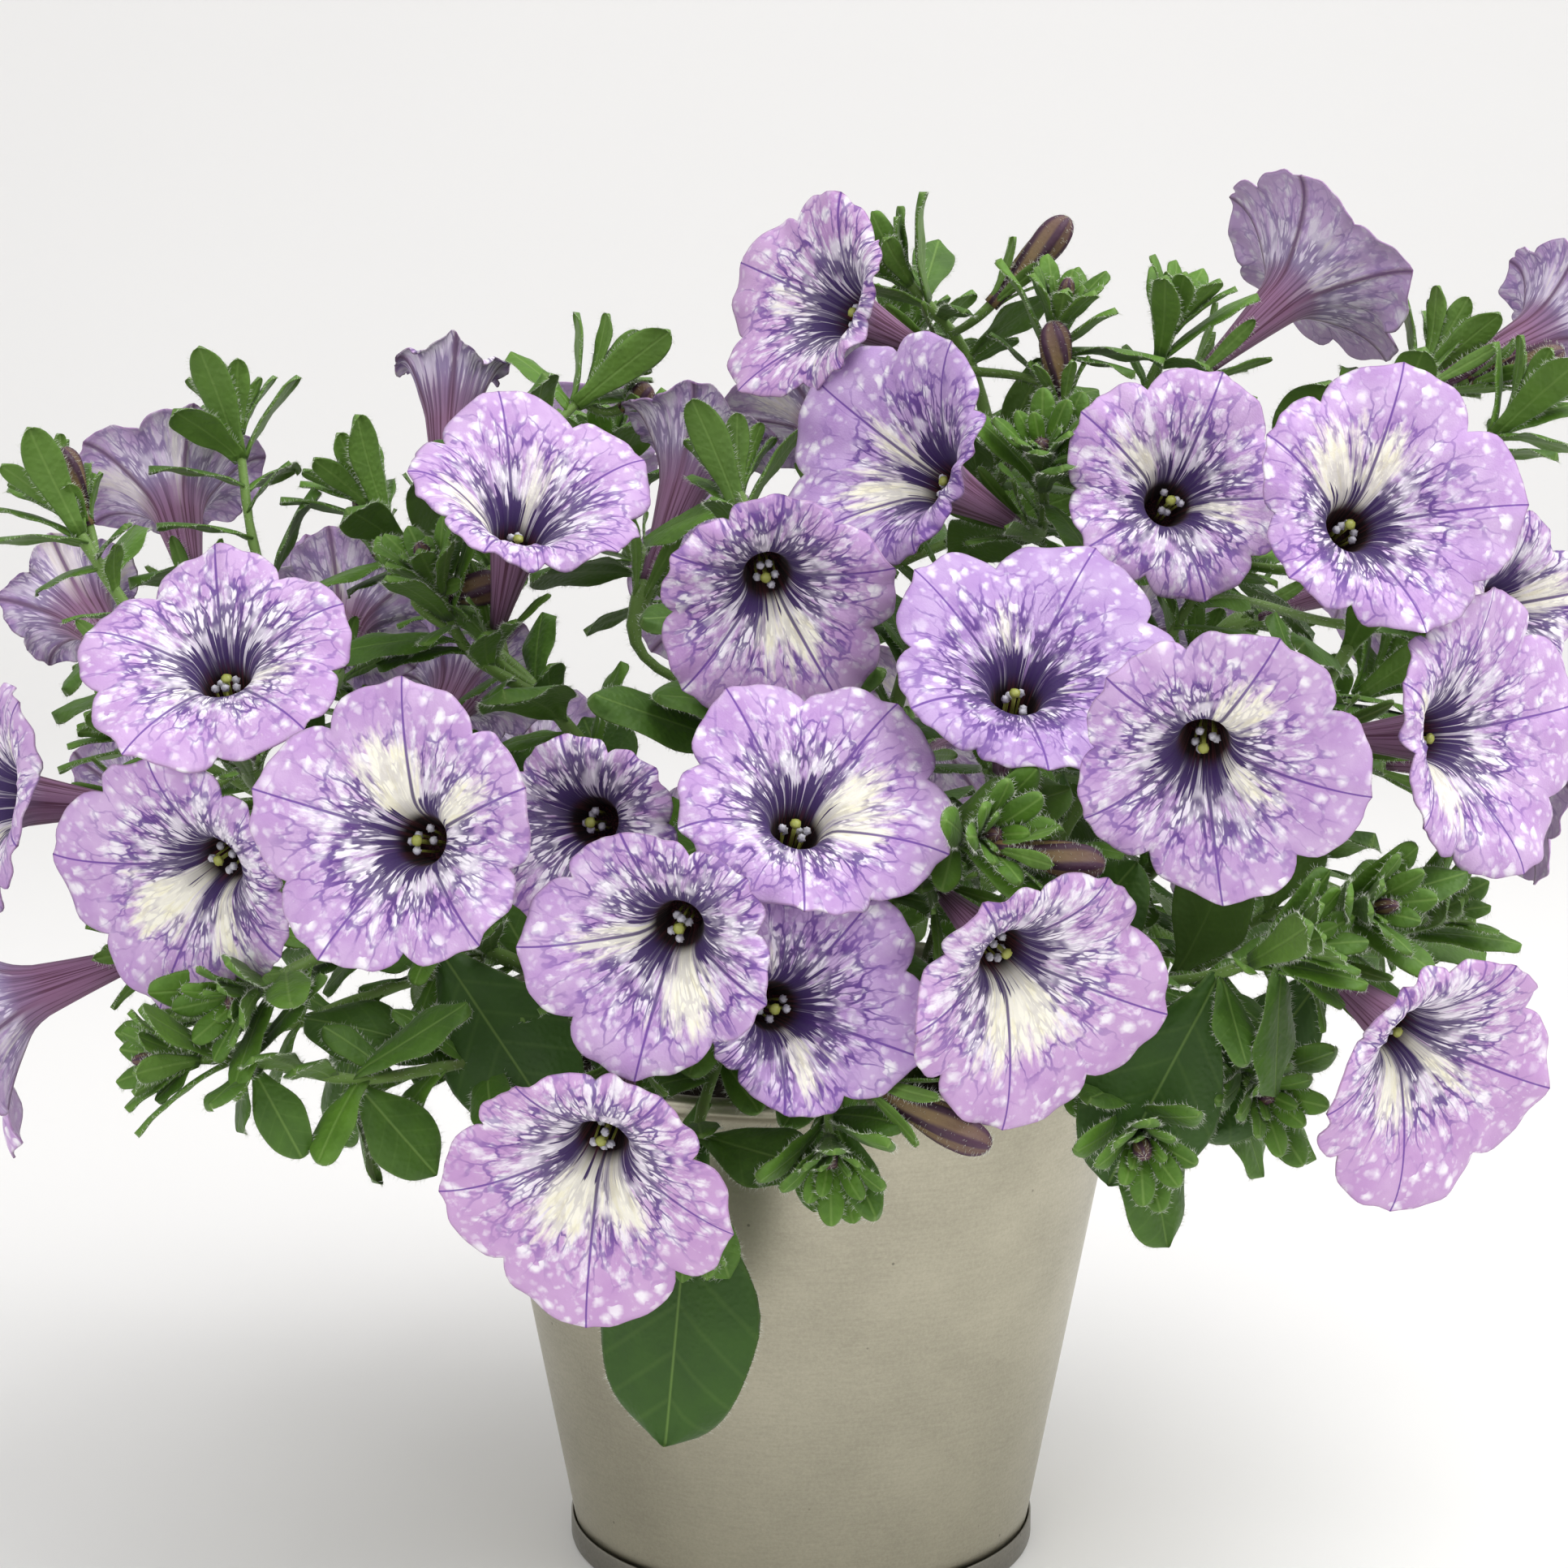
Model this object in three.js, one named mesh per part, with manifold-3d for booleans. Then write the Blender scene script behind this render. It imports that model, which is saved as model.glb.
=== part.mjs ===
// A speckled lilac petunia growing in a tapered zinc pot. Millimetres, +Z up.
// The origin is the centre of the pot's underside, on the plane that the pot stands on.
// The plant's best side looks along -Y. Angles are in degrees.

import * as THREE from 'three';
import { mergeVertices } from 'three/addons/utils/BufferGeometryUtils.js';
import Module from 'manifold-3d';

const wasm = await Module();
wasm.setup();

// ---- Driving dimensions: the pot ----

const POT_HEIGHT = 125;
const POT_SIDES = 24;
const SHEET = 1; // thickness of the zinc sheet
const WALL_FOOT_RADIUS = 52.3;
const WALL_RIM_RADIUS = 75.3;
const RIM_BEAD_RADIUS = 2.1;
const FOOT_RADIUS = 54;
const FOOT_HEIGHT = 6;
const FOOT_FLANGE = 5; // width of the flat ring that the pot stands on
const BASE_RECESS = 3.5; // the base disc's underside stands this high
const GAP = 0.3; // clearance between neighbouring pieces

// ---- Driving dimensions: compost and stems ----

const SOIL_LEVEL = 112;
const SOIL_CROWN = 3; // the compost is this much higher in the middle
const STEM_FOOT = 100; // the stems stand this deep in their holes
const STEM_RADIUS = 2.3;
const STEM_TIP_RADIUS = 1.7;
const TWIG_RADIUS = 1.2; // a twig that leaves a shoot's main stem
const STALK_RADIUS = 1.1; // flower stalk
const STALK_LENGTH = 24; // a bloom's stalk leaves its shoot about this far back
const HOLE_RADIUS = STEM_RADIUS + 0.5;

// ---- Driving dimensions: a bloom, along its own axis from the throat ----

const FACE_CLEAR = 26; // no leaf stands this near before a bloom's face
const LOBES = 5;
const HALF_LOBE = 180 / LOBES;
const TUBE_LENGTH = 29;
const TUBE_END_RADIUS = 1.9;
const TUBE_MID = 14; // distance behind the throat
const TUBE_MID_RADIUS = 4.3;
const THROAT_RADIUS = 7.2;
const THROAT_WALL = 1.2; // thickness of the tube at the throat
const HOLLOW_DEPTH = 16; // the tube is hollow down to here
const PETAL = 0.9; // thickness of the petals
const RUFFLE = 1.9; // height of the waves at the petals' edge
const NOTCH = 0.14; // depth of the notch between two lobes, of the bloom's radius
const CALYX_DEPTH = 6; // from the tube's end back to the stalk
const CALYX_FOOT_RADIUS = 1.6;
const CALYX_FLOOR = 3.6;
const CUP_DEPTH = 3; // the calyx's cup, which the tube's end stands in
const CUP_RADIUS = 3.8;
const SEPAL_LENGTH = 13;
const SEPAL_SPREAD = 7.6; // a sepal's tip stands this far from the axis

// ---- Driving dimensions: leaves and buds ----

const LEAF_SPACING = 25;
const LEAF_TURN = 137.5;
const LEAF_LONGEST = 44; // near the foot of a shoot; the rule leaves grow shorter to its tip
const LEAF_SHORTEST = 24;
const LEAF_WIDTH = 0.6; // of its length
const LEAF_DROOP = 0.16; // how far the tip hangs, of its length
const LEAF_RIDGE = 1.5; // the midrib stands this high over the leaf's edges
const LEAF_SUNK = 0.6; // a leaf starts this far behind the middle of its stem
const TIP_LEAVES = 4;
const TIP_LEAF_LENGTH = 15;
const TIP_LEAF_SPREAD = 8; // a tip leaf's end stands this far from the stem's line
const TIP_CUP = 3; // the tip leaves part this far up, and this far out
const BUD_FOOT = 5;
const BUD_RADIUS = 2.2;
const BUD_LENGTH = 17;

const PETAL_LILAC = '#b79ad3';
const LEAF_GREEN = '#3f6b2a';
const ZINC = '#a3a096';
const COMPOST = '#3a2c22';

// ---- Where the blooms are ----
// Each row: name, throat x, y, z, yaw (0 looks to the front, 90 to the right), pitch up, radius,
// depth of the cup, how far the petals' middle lies off the throat and toward which angle (0 is up,
// 90 to the left as the bloom is looked at), and the shoot that carries it.

const BLOOMS = [
  ['01', -75, -122, 190, -15, 15, 28, 7, 3, 60, 'front_left'],
  ['02', -117, -85, 217, -5, 48, 27.5, 7, 2.5, 180, 'left'],
  ['03', -118, -97, 179, -22, -12, 26.5, 7, 6.5, 100, 'front_left'],
  ['04', -43, -94, 188, -10, 12, 19.5, 6, 3, 170, 'front'],
  ['05', -25, -128, 173, -8, -2, 24, 7, 5.5, 125, 'front'],
  ['06', -1, -103, 190, 12, 42, 27.5, 7, 3, 300, 'upper'],
  ['07', -5, -116, 155, 15, 10, 23, 7, 7, 285, 'front'],
  ['08', 40, -118, 165, 25, -15, 27.5, 8, 7, 210, 'front'],
  ['09', 43, -88, 214, 6, 45, 29, 7, 5, 320, 'front_right'],
  ['10', 77, -116, 206, -8, -14, 28, 8, 4, 270, 'front_right'],
  ['11', 79, -32, 246, 5, 18, 25, 7, 2.5, 340, 'right'],
  ['12', 113, -68, 245, 12, 22, 28, 10, 5, 300, 'right'],
  ['13', 131, -70, 201, 42, 8, 29.5, 9, 6.5, 265, 'right'],
  ['14', 28, -38, 251, -44, 24, 27, 11, 8.5, 75, 'top'],
  ['15', -7, -70, 233, 6, -12, 24.5, 7, 4.5, 195, 'upper'],
  ['16', -60, -45, 241, 20, 52, 25.5, 11, 4, 325, 'upper_left'],
  ['17', 9, -8, 285, -48, 22, 23.5, 8, 6.5, 90, 'top'],
  ['18', -144, 24, 239, -160, 42, 22, 10, 0, 0, 'left'],
  ['19', -82, 40, 261, 175, 64, 13, 10, 0, 0, 'upper_left'],
  ['20', -26, 20, 246, 150, 52, 19, 12, 0, 0, 'top'],
  ['21', 112, 30, 287, 123, 34, 27, 11, 0, 0, 'upper_right'],
  ['22', 169, 25, 278, 115, 20, 20, 8, 0, 0, 'upper_right'],
  ['23', -40, -126, 129, -10, -17, 28.5, 8, 7, 168, 'front'],
  ['24', 121, -100, 145, 30, -17, 28.5, 9, 8, 205, 'front_right'],
  ['25', -166, -60, 186, -55, 10, 25, 7, 0, 0, 'left'],
  ['26', -162, -75, 147, -82, -18, 27, 12, 3, 180, 'front_left'],
  ['27', -81, 40, 193, 165, 25, 20, 9, 0, 0, 'back_left'],
  ['28', -165, 18, 215, -150, 16, 16, 9, 0, 0, 'left'],
  ['29', 153, -20, 221, 40, 12, 20, 7, 0, 0, 'right'],
  ['30', -105, 18, 212, -178, 14, 20, 8, 0, 0, 'left'],
  ['31', -120, 88, 200, -127, 15, 26, 7, 3, 180, 'back_left'],
  ['32', -70, 118, 162, -150, 8, 27, 7, 4, 200, 'back_left'],
  ['33', -20, 124, 207, -175, 15, 26, 7, 3, 160, 'back'],
  ['34', 35, 128, 170, 170, 3, 27, 7, 4, 220, 'back'],
  ['35', 84, 106, 198, 145, 10, 26, 7, 3, 150, 'back_right'],
  ['36', 134, 72, 216, 118, 15, 26, 7, 4, 190, 'back_right'],
  ['37', 166, 38, 176, 100, -2, 25, 8, 3, 170, 'back_right'],
  ['38', -160, 52, 162, -105, 2, 25, 7, 3, 180, 'back_left'],
  ['39', 86, 92, 236, 150, 30, 23, 7, 0, 0, 'back_top'],
  ['40', 6, 76, 254, -175, 40, 26, 7, 3, 30, 'back_top'],
  ['41', -54, 92, 236, -150, 25, 25, 7, 3, 0, 'back_top'],
  ['42', 108, 96, 156, 130, -15, 26, 8, 5, 180, 'back_right'],
  ['43', -36, 122, 136, -165, -15, 25, 8, 5, 190, 'back'],
];

// ---- Where the shoots run ----
// The first route of a shoot rises from its hole in the compost; the others leave it on the way.

const SHOOTS = {
  front: [
    [[-6, -34, 115], [-10, -46, 130], [-15, -64, 146], [-20, -80, 152], [-36, -84, 158]],
    [[-10, -46, 130], [-17, -72, 134], [-22, -92, 122], [-24, -102, 112]],
    [[-10, -46, 130], [4, -62, 142], [14, -76, 158], [24, -88, 180], [34, -106, 187]],
    [[-1, -57, 138], [8, -80, 134], [5, -100, 130], [5, -109, 126]],
  ],
  front_left: [
    [
      [-30, -30, 115], [-38, -38, 128], [-56, -52, 146], [-78, -66, 158], [-96, -80, 158],
      [-110, -97, 154],
    ],
    [
      [-38, -38, 128], [-56, -58, 132], [-76, -80, 133], [-92, -92, 134], [-112, -96, 139],
      [-122, -99, 140],
    ],
    [[-68, -60, 152], [-94, -56, 142], [-112, -58, 136], [-122, -62, 140]],
  ],
  left: [
    [
      [-38, -6, 115], [-48, -10, 132], [-78, -22, 160], [-108, -34, 180], [-130, -34, 196],
      [-146, -30, 222], [-160, -22, 242],
    ],
    [[-60, -14, 144], [-80, -4, 178], [-108, -4, 204], [-122, 2, 228], [-128, 16, 256]],
    [[-60, -14, 144], [-94, -8, 160], [-126, -2, 178], [-148, -4, 190]],
  ],
  upper_left: [
    [[-16, -12, 115], [-22, -14, 140], [-38, -18, 174], [-56, -20, 200], [-76, -10, 218], [-96, -4, 242]],
    [[-56, -20, 200], [-72, -28, 212], [-78, -34, 226]],
    [[-66, -15, 209], [-70, 0, 226], [-62, 12, 250], [-48, 24, 266]],
  ],
  upper: [
    [[4, -20, 115], [2, -26, 138], [-4, -38, 168], [-8, -44, 192], [-10, -34, 222], [-14, -16, 246]],
    [[-1, -32, 153], [-8, -56, 166], [-10, -72, 164]],
  ],
  top: [
    [[8, 2, 115], [10, 2, 145], [18, 4, 182], [28, 8, 216], [42, 12, 246], [38, 18, 272], [24, 14, 290]],
    [[35, 10, 231], [50, 6, 256], [56, -2, 280]],
    [[35, 10, 231], [52, -8, 236], [52, -22, 252]],
  ],
  front_right: [
    [[24, -26, 115], [30, -34, 132], [46, -50, 160], [58, -58, 184], [70, -62, 204]],
    [[30, -34, 132], [54, -58, 142], [70, -78, 150], [84, -92, 156], [95, -98, 162]],
    [[54, -58, 142], [80, -62, 148], [96, -66, 162], [112, -84, 168]],
    [[54, -58, 142], [66, -74, 130], [68, -92, 124]],
  ],
  right: [
    [
      [38, -4, 115], [48, -8, 132], [78, -18, 162], [100, -26, 186], [118, -18, 208], [140, -4, 240],
      [158, 0, 262],
    ],
    [[63, -13, 147], [72, -26, 186], [80, -24, 214], [90, -22, 230]],
    [[63, -13, 147], [92, -40, 146], [114, -52, 150], [130, -60, 160]],
    [[63, -13, 147], [84, -48, 132], [94, -76, 128]],
  ],
  upper_right: [
    [
      [26, 18, 115], [34, 20, 145], [50, 20, 184], [66, 16, 218], [66, 8, 244], [76, 4, 264],
      [82, 2, 280],
    ],
    [[66, 16, 218], [98, 18, 234], [126, 10, 250], [143, 20, 272]],
  ],
  back_left: [
    [[-28, 26, 115], [-36, 34, 130], [-62, 50, 152], [-90, 56, 172], [-104, 60, 186]],
    [[-49, 42, 141], [-80, 50, 144], [-112, 50, 152], [-134, 62, 144]],
    [[-36, 34, 130], [-52, 60, 142], [-62, 84, 146], [-72, 98, 136]],
  ],
  back: [
    [[-2, 36, 115], [-2, 46, 130], [0, 66, 152], [6, 84, 172], [10, 98, 196]],
    [[-1, 56, 141], [-12, 76, 142], [-14, 98, 130], [-8, 108, 112]],
    [[3, 75, 162], [22, 86, 152], [34, 100, 138]],
  ],
  back_right: [
    [[30, 26, 115], [38, 34, 130], [62, 50, 154], [84, 56, 176], [96, 66, 196]],
    [[50, 42, 142], [84, 46, 156], [112, 46, 172], [138, 52, 194]],
    [[50, 42, 142], [74, 62, 142], [88, 78, 130]],
    [[84, 46, 156], [116, 36, 150], [140, 40, 140]],
  ],
  back_top: [
    [[-8, 16, 115], [-10, 22, 145], [-6, 38, 184], [2, 48, 214], [20, 44, 246], [24, 50, 272]],
    [[-6, 38, 184], [-22, 52, 204], [-40, 58, 222], [-46, 60, 246]],
    [[2, 48, 214], [28, 52, 224], [50, 60, 232]],
  ],
};

// ---- Leaves that stand out ----
// Each row: the shoot, a point near which the leaf leaves it, the leaf's tip, and its width.

const BROAD_LEAVES = [
  ['front', [-22, -92, 122], [-28, -98, 58], 35],
  ['front', [-22, -92, 122], [2, -113, 121], 16],
  ['front', [5, -100, 130], [-17, -119, 149], 10],
  ['front', [5, -100, 130], [14, -119, 113], 9],
  ['front_left', [-78, -66, 158], [-50, -80, 119], 29],
  ['front_left', [-92, -92, 134], [-68, -90, 149], 13],
  ['front_left', [-92, -92, 134], [-76, -86, 112], 15],
  ['front_left', [-92, -92, 134], [-89, -78, 108], 11],
  ['front_left', [-112, -96, 139], [-101, -101, 120], 11],
  ['front_left', [-112, -96, 139], [-115, -92, 123], 12],
  ['front_left', [-125, -98, 150], [-130, -102, 132], 7],
  ['front_left', [-112, -96, 139], [-96, -101, 158], 9],
  ['front_right', [84, -92, 156], [62, -92, 112], 30],
  ['front_right', [95, -98, 162], [95, -94, 131], 16],
  ['front_right', [84, -92, 156], [88, -104, 140], 11],
  ['front_right', [112, -84, 168], [136, -80, 174], 10],
  ['right', [114, -52, 150], [84, -72, 116], 24],
  ['right', [118, -18, 208], [106, -44, 216], 14],
  ['right', [100, -26, 186], [124, -44, 190], 14],
  ['left', [-122, 2, 228], [-148, -16, 226], 14],
  ['left', [-146, -30, 222], [-156, -50, 207], 12],
  ['left', [-153, -26, 232], [-144, -39, 241], 9],
  ['upper', [-8, -44, 192], [-44, -62, 208], 15],
  ['upper', [-10, -34, 222], [-34, -50, 222], 13],
  ['upper', [-8, -44, 192], [16, -64, 214], 13],
  ['top', [42, 12, 246], [54, 2, 274], 9],
  ['top', [52, -22, 252], [70, -25, 258], 9],
  ['upper_right', [126, 10, 250], [146, 6, 258], 10],
  ['back_left', [-62, 84, 146], [-56, 100, 106], 26],
  ['back', [-12, 76, 142], [-30, 96, 108], 22],
  ['back_right', [74, 62, 142], [66, 96, 108], 24],
  ['back_left', [-80, 50, 144], [-92, 58, 108], 22],
];

// ---- Small tools ----

const vec = (x, y, z) => new THREE.Vector3(x, y, z);
const radians = THREE.MathUtils.degToRad;

// The same draw every time: a Park-Miller generator.
function dice(seed) {
  let state = seed;
  return () => {
    state = (state * 16807) % 2147483647;
    return state / 2147483647;
  };
}

function direction(yaw, pitch) {
  const flat = Math.cos(radians(pitch));
  return vec(Math.sin(radians(yaw)) * flat, -Math.cos(radians(yaw)) * flat, Math.sin(radians(pitch)));
}

// Two directions square to an axis; the first leans as far up as it can.
function acrossFrame(axis) {
  const pole = Math.abs(axis.z) > 0.98 ? vec(0, -1, 0) : vec(0, 0, 1);
  const rise = pole.addScaledVector(axis, -pole.dot(axis)).normalize();
  return [rise, vec(0, 0, 0).crossVectors(axis, rise)];
}

// A smooth curve through the points of a route, given as points at every half span.
function smooth(route) {
  const knots = route.map(([x, y, z]) => vec(x, y, z));
  const at = (i) => {
    if (i < 0) return knots[0].clone().multiplyScalar(2).sub(knots[1]);
    if (i >= knots.length) return knots.at(-1).clone().multiplyScalar(2).sub(knots.at(-2));
    return knots[i];
  };
  const points = [];
  for (let i = 0; i < knots.length - 1; i++) {
    points.push(knots[i].clone());
    const outer = at(i - 1).clone().add(at(i + 2));
    const inner = knots[i].clone().add(knots[i + 1]);
    points.push(inner.multiplyScalar(9 / 16).addScaledVector(outer, -1 / 16));
  }
  points.push(knots.at(-1).clone());
  return points;
}

// ---- Closed skins over rings of points ----

// Triangles between a ring and the ring outside it, which has as many points or a multiple.
function strip(hub, hubCount, outside, outsideCount, inward, faces) {
  const ratio = outsideCount / hubCount;
  const split = Math.ceil(ratio / 2);
  for (let i = 0; i < hubCount; i++) {
    const here = hub + i;
    const next = hub + ((i + 1) % hubCount);
    for (let j = 0; j < ratio; j++) {
      const from = outside + i * ratio + j;
      const to = outside + ((i * ratio + j + 1) % outsideCount);
      const apex = j < split ? here : next;
      faces.push(...(inward ? [apex, from, to] : [apex, to, from]));
    }
    if (hubCount > 1) {
      const middle = outside + ((i * ratio + split) % outsideCount);
      faces.push(...(inward ? [next, here, middle] : [here, next, middle]));
    }
  }
}

// Skins a row of rings and closes both ends. From the ring `turn` on, the row runs back inward,
// as the inside of a cup does.
function loft(rings, turn = Infinity) {
  const starts = [0];
  for (const ring of rings) starts.push(starts.at(-1) + ring.length);
  const faces = [];
  for (let i = 1; i < rings[0].length - 1; i++) faces.push(0, i + 1, i);
  for (let k = 0; k < rings.length - 1; k++) {
    const [a, b] = [starts[k], starts[k + 1]];
    const [countA, countB] = [rings[k].length, rings[k + 1].length];
    if (k >= turn || countB < countA) strip(b, countB, a, countA, true, faces);
    else strip(a, countA, b, countB, false, faces);
  }
  const last = starts.at(-2);
  for (let i = 1; i < rings.at(-1).length - 1; i++) faces.push(last, last + i, last + i + 1);
  return solid(rings.flat(), faces);
}

// A solid from points and triangles, turned so that its faces point out.
function solid(points, faces) {
  let volume = 0;
  for (let i = 0; i < faces.length; i += 3) {
    const [a, b, c] = [points[faces[i]], points[faces[i + 1]], points[faces[i + 2]]];
    volume += a.dot(vec(0, 0, 0).crossVectors(b, c));
  }
  if (volume < 0) faces.reverse();
  return new wasm.Manifold(new wasm.Mesh({
    numProp: 3,
    vertProperties: new Float32Array(points.flatMap((p) => p.toArray())),
    triVerts: new Uint32Array(faces),
  }));
}

function solidFrom(geometry) {
  const bare = geometry.clone();
  bare.deleteAttribute('normal');
  bare.deleteAttribute('uv');
  const merged = mergeVertices(bare, 1e-4);
  const place = merged.attributes.position;
  const points = [];
  for (let i = 0; i < place.count; i++) points.push(vec(place.getX(i), place.getY(i), place.getZ(i)));
  return solid(points, Array.from(merged.index.array));
}

function geometryOf(body) {
  const mesh = body.getMesh();
  const geometry = new THREE.BufferGeometry();
  geometry.setAttribute('position', new THREE.BufferAttribute(mesh.vertProperties, mesh.numProp));
  geometry.setIndex(new THREE.BufferAttribute(mesh.triVerts, 1));
  return geometry;
}

// A piece of pot or compost: an outline of [radius, height] points turned round the pot's axis.
function turned(outline) {
  const profile = outline.map(([radius, height]) => new THREE.Vector2(radius, height));
  const lathe = new THREE.LatheGeometry(profile, POT_SIDES);
  return lathe.rotateX(Math.PI / 2);
}

function wallRadius(height) {
  const rise = (height - SHEET - GAP) / (POT_HEIGHT - SHEET - GAP);
  return WALL_FOOT_RADIUS + (WALL_RIM_RADIUS - WALL_FOOT_RADIUS) * rise;
}

// ---- The pot ----

function potWall() {
  const foot = SHEET + GAP;
  const beadHeight = POT_HEIGHT - RIM_BEAD_RADIUS;
  const beadCentre = wallRadius(beadHeight) + RIM_BEAD_RADIUS - SHEET;
  const outline = [
    [WALL_FOOT_RADIUS - SHEET, foot],
    [WALL_FOOT_RADIUS, foot],
    [wallRadius(beadHeight - 2 * RIM_BEAD_RADIUS), beadHeight - 2 * RIM_BEAD_RADIUS],
  ];
  for (const angle of [-60, 0, 60, 120, 180]) {
    const turn = radians(angle);
    outline.push([
      beadCentre + RIM_BEAD_RADIUS * Math.cos(turn),
      beadHeight + RIM_BEAD_RADIUS * Math.sin(turn),
    ]);
  }
  outline.push(outline[0]);
  return turned(outline);
}

function potBase() {
  const channel = WALL_FOOT_RADIUS - SHEET - GAP;
  const flange = FOOT_RADIUS - FOOT_FLANGE;
  return turned([
    [0, BASE_RECESS],
    [flange - 1.5, BASE_RECESS],
    [flange, 0],
    [FOOT_RADIUS, 0],
    [FOOT_RADIUS, FOOT_HEIGHT],
    [WALL_FOOT_RADIUS + 2 * GAP + 0.5, FOOT_HEIGHT],
    [WALL_FOOT_RADIUS + GAP, SHEET],
    [channel, SHEET],
    [channel - 1, BASE_RECESS + SHEET],
    [0, BASE_RECESS + SHEET],
  ]);
}

function compost(holes) {
  const inside = (height) => wallRadius(height) - SHEET - GAP - 0.5;
  const bottom = BASE_RECESS + SHEET + GAP;
  const top = SOIL_LEVEL;
  let body = solidFrom(turned([
    [0, bottom],
    [WALL_FOOT_RADIUS - SHEET - 3, bottom],
    [inside(top - 2), top - 2],
    [inside(top) - 4, top],
    [44, top + 0.6 * SOIL_CROWN],
    [0, top + SOIL_CROWN],
  ]));
  const depth = SOIL_LEVEL + 3 * SOIL_CROWN - STEM_FOOT;
  for (const [x, y] of holes) {
    const hole = new THREE.CylinderGeometry(HOLE_RADIUS, HOLE_RADIUS, depth, 6);
    hole.rotateX(Math.PI / 2).translate(x, y, STEM_FOOT - GAP + depth / 2);
    body = body.subtract(solidFrom(hole));
  }
  return geometryOf(body);
}

// ---- A bloom ----

class Bloom {
  constructor([name, x, y, z, yaw, pitch, radius, cup, drift, toward, shoot]) {
    Object.assign(this, { name: `bloom_${name}`, radius, cup, drift, toward, shoot });
    this.throat = vec(x, y, z);
    this.axis = direction(yaw, pitch);
    [this.rise, this.side] = acrossFrame(this.axis);
    const draw = dice(7919 * Number(name));
    this.roll = 2 * HALF_LOBE * draw();
    this.phases = [360 * draw(), 360 * draw()];
  }

  // A point at a height along the axis, a distance from it and an angle round it.
  point(height, distance, angle) {
    return this.throat.clone()
      .addScaledVector(this.axis, height)
      .addScaledVector(this.rise, distance * Math.cos(radians(angle)))
      .addScaledVector(this.side, distance * Math.sin(radians(angle)));
  }

  // The petals' height over the throat, from 0 at the throat to 1 at the edge.
  height(share) {
    return this.cup * (1 - (1 - share) ** 2);
  }

  // The waves grow toward the edge; a fold runs out along the notch between two lobes.
  ruffle(share, angle) {
    const lobes = Math.cos(radians(LOBES * (angle - this.roll)));
    const slow = Math.sin(radians(3 * angle + this.phases[0]));
    const quick = Math.sin(radians(7 * angle + this.phases[1]));
    return RUFFLE * share ** 2 * (0.7 * lobes + 0.6 * slow + 0.25 * quick);
  }

  // How far a circle of the bloom's radius reaches from the throat, which stands off its middle.
  circle(angle) {
    const turn = radians(angle - this.toward);
    return this.drift * Math.cos(turn) + Math.sqrt(this.radius ** 2 - (this.drift * Math.sin(turn)) ** 2);
  }

  // How far the edge reaches at an angle: full on a lobe, notched between two.
  reach(angle) {
    const lobe = (angle - this.roll) / (2 * HALF_LOBE);
    const fromNotch = 2 * Math.abs(lobe - Math.floor(lobe) - 0.5);
    return this.circle(angle) * (1 - NOTCH * (1 - fromNotch) ** 3);
  }

  ring(count, place) {
    const ring = [];
    for (let i = 0; i < count; i++) ring.push(place((360 * i) / count + this.roll + HALF_LOBE));
    return ring;
  }

  petals(share, lift) {
    return (angle) => {
      const distance = THROAT_RADIUS + (this.reach(angle) - THROAT_RADIUS) * share;
      return this.point(this.height(share) + this.ruffle(share, angle) + lift, distance, angle);
    };
  }

  body() {
    const round = (height, distance) => (angle) => this.point(height, distance, angle);
    const rings = [
      this.ring(LOBES, round(-TUBE_LENGTH, TUBE_END_RADIUS)),
      this.ring(LOBES, round(-TUBE_MID, TUBE_MID_RADIUS)),
      this.ring(LOBES, round(0, THROAT_RADIUS)),
      this.ring(3 * LOBES, this.petals(0.5, 0)),
      this.ring(3 * LOBES, this.petals(1, 0)),
      this.ring(LOBES, this.petals(0.5, PETAL)),
      this.ring(LOBES, round(0.5 * PETAL, THROAT_RADIUS - THROAT_WALL)),
      [this.point(-HOLLOW_DEPTH, 0, 0)],
    ];
    return loft(rings, 4);
  }

  // Whether a point is in the bloom, within a margin, or stands right before its face.
  covers(point, margin) {
    const away = point.clone().sub(this.throat);
    const height = away.dot(this.axis);
    const distance = away.addScaledVector(this.axis, -height).length();
    const tube = THROAT_RADIUS + ((THROAT_RADIUS - CALYX_FOOT_RADIUS) * height) / TUBE_LENGTH;
    if (height < 0 && height > -TUBE_LENGTH - CALYX_DEPTH && distance < tube + margin) return true;
    const angle = THREE.MathUtils.radToDeg(Math.atan2(away.dot(this.side), away.dot(this.rise)));
    const circle = this.circle(angle);
    if (height >= 0 && height < FACE_CLEAR && distance < 0.8 * circle) return true;
    const share = (distance - THROAT_RADIUS) / (circle - THROAT_RADIUS);
    if (share < 0 || distance > circle + margin) return false;
    const edge = Math.min(share, 1);
    return Math.abs(height - this.height(edge)) < margin + 1.2 * RUFFLE * edge * edge;
  }
}

// ---- Stems, flower stalks, leaves and buds ----

// Rings round a bent line, one for each of its points.
function ringsAlong(line, radiusAt, sides) {
  return line.map((point, i) => {
    const ahead = line[Math.min(i + 1, line.length - 1)];
    const behind = line[Math.max(i - 1, 0)];
    const [rise, side] = acrossFrame(ahead.clone().sub(behind).normalize());
    const ring = [];
    for (let k = 0; k < sides; k++) {
      const turn = (2 * Math.PI * k) / sides;
      ring.push(point.clone()
        .addScaledVector(rise, radiusAt(i) * Math.cos(turn))
        .addScaledVector(side, radiusAt(i) * Math.sin(turn)));
    }
    return ring;
  });
}

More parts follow.
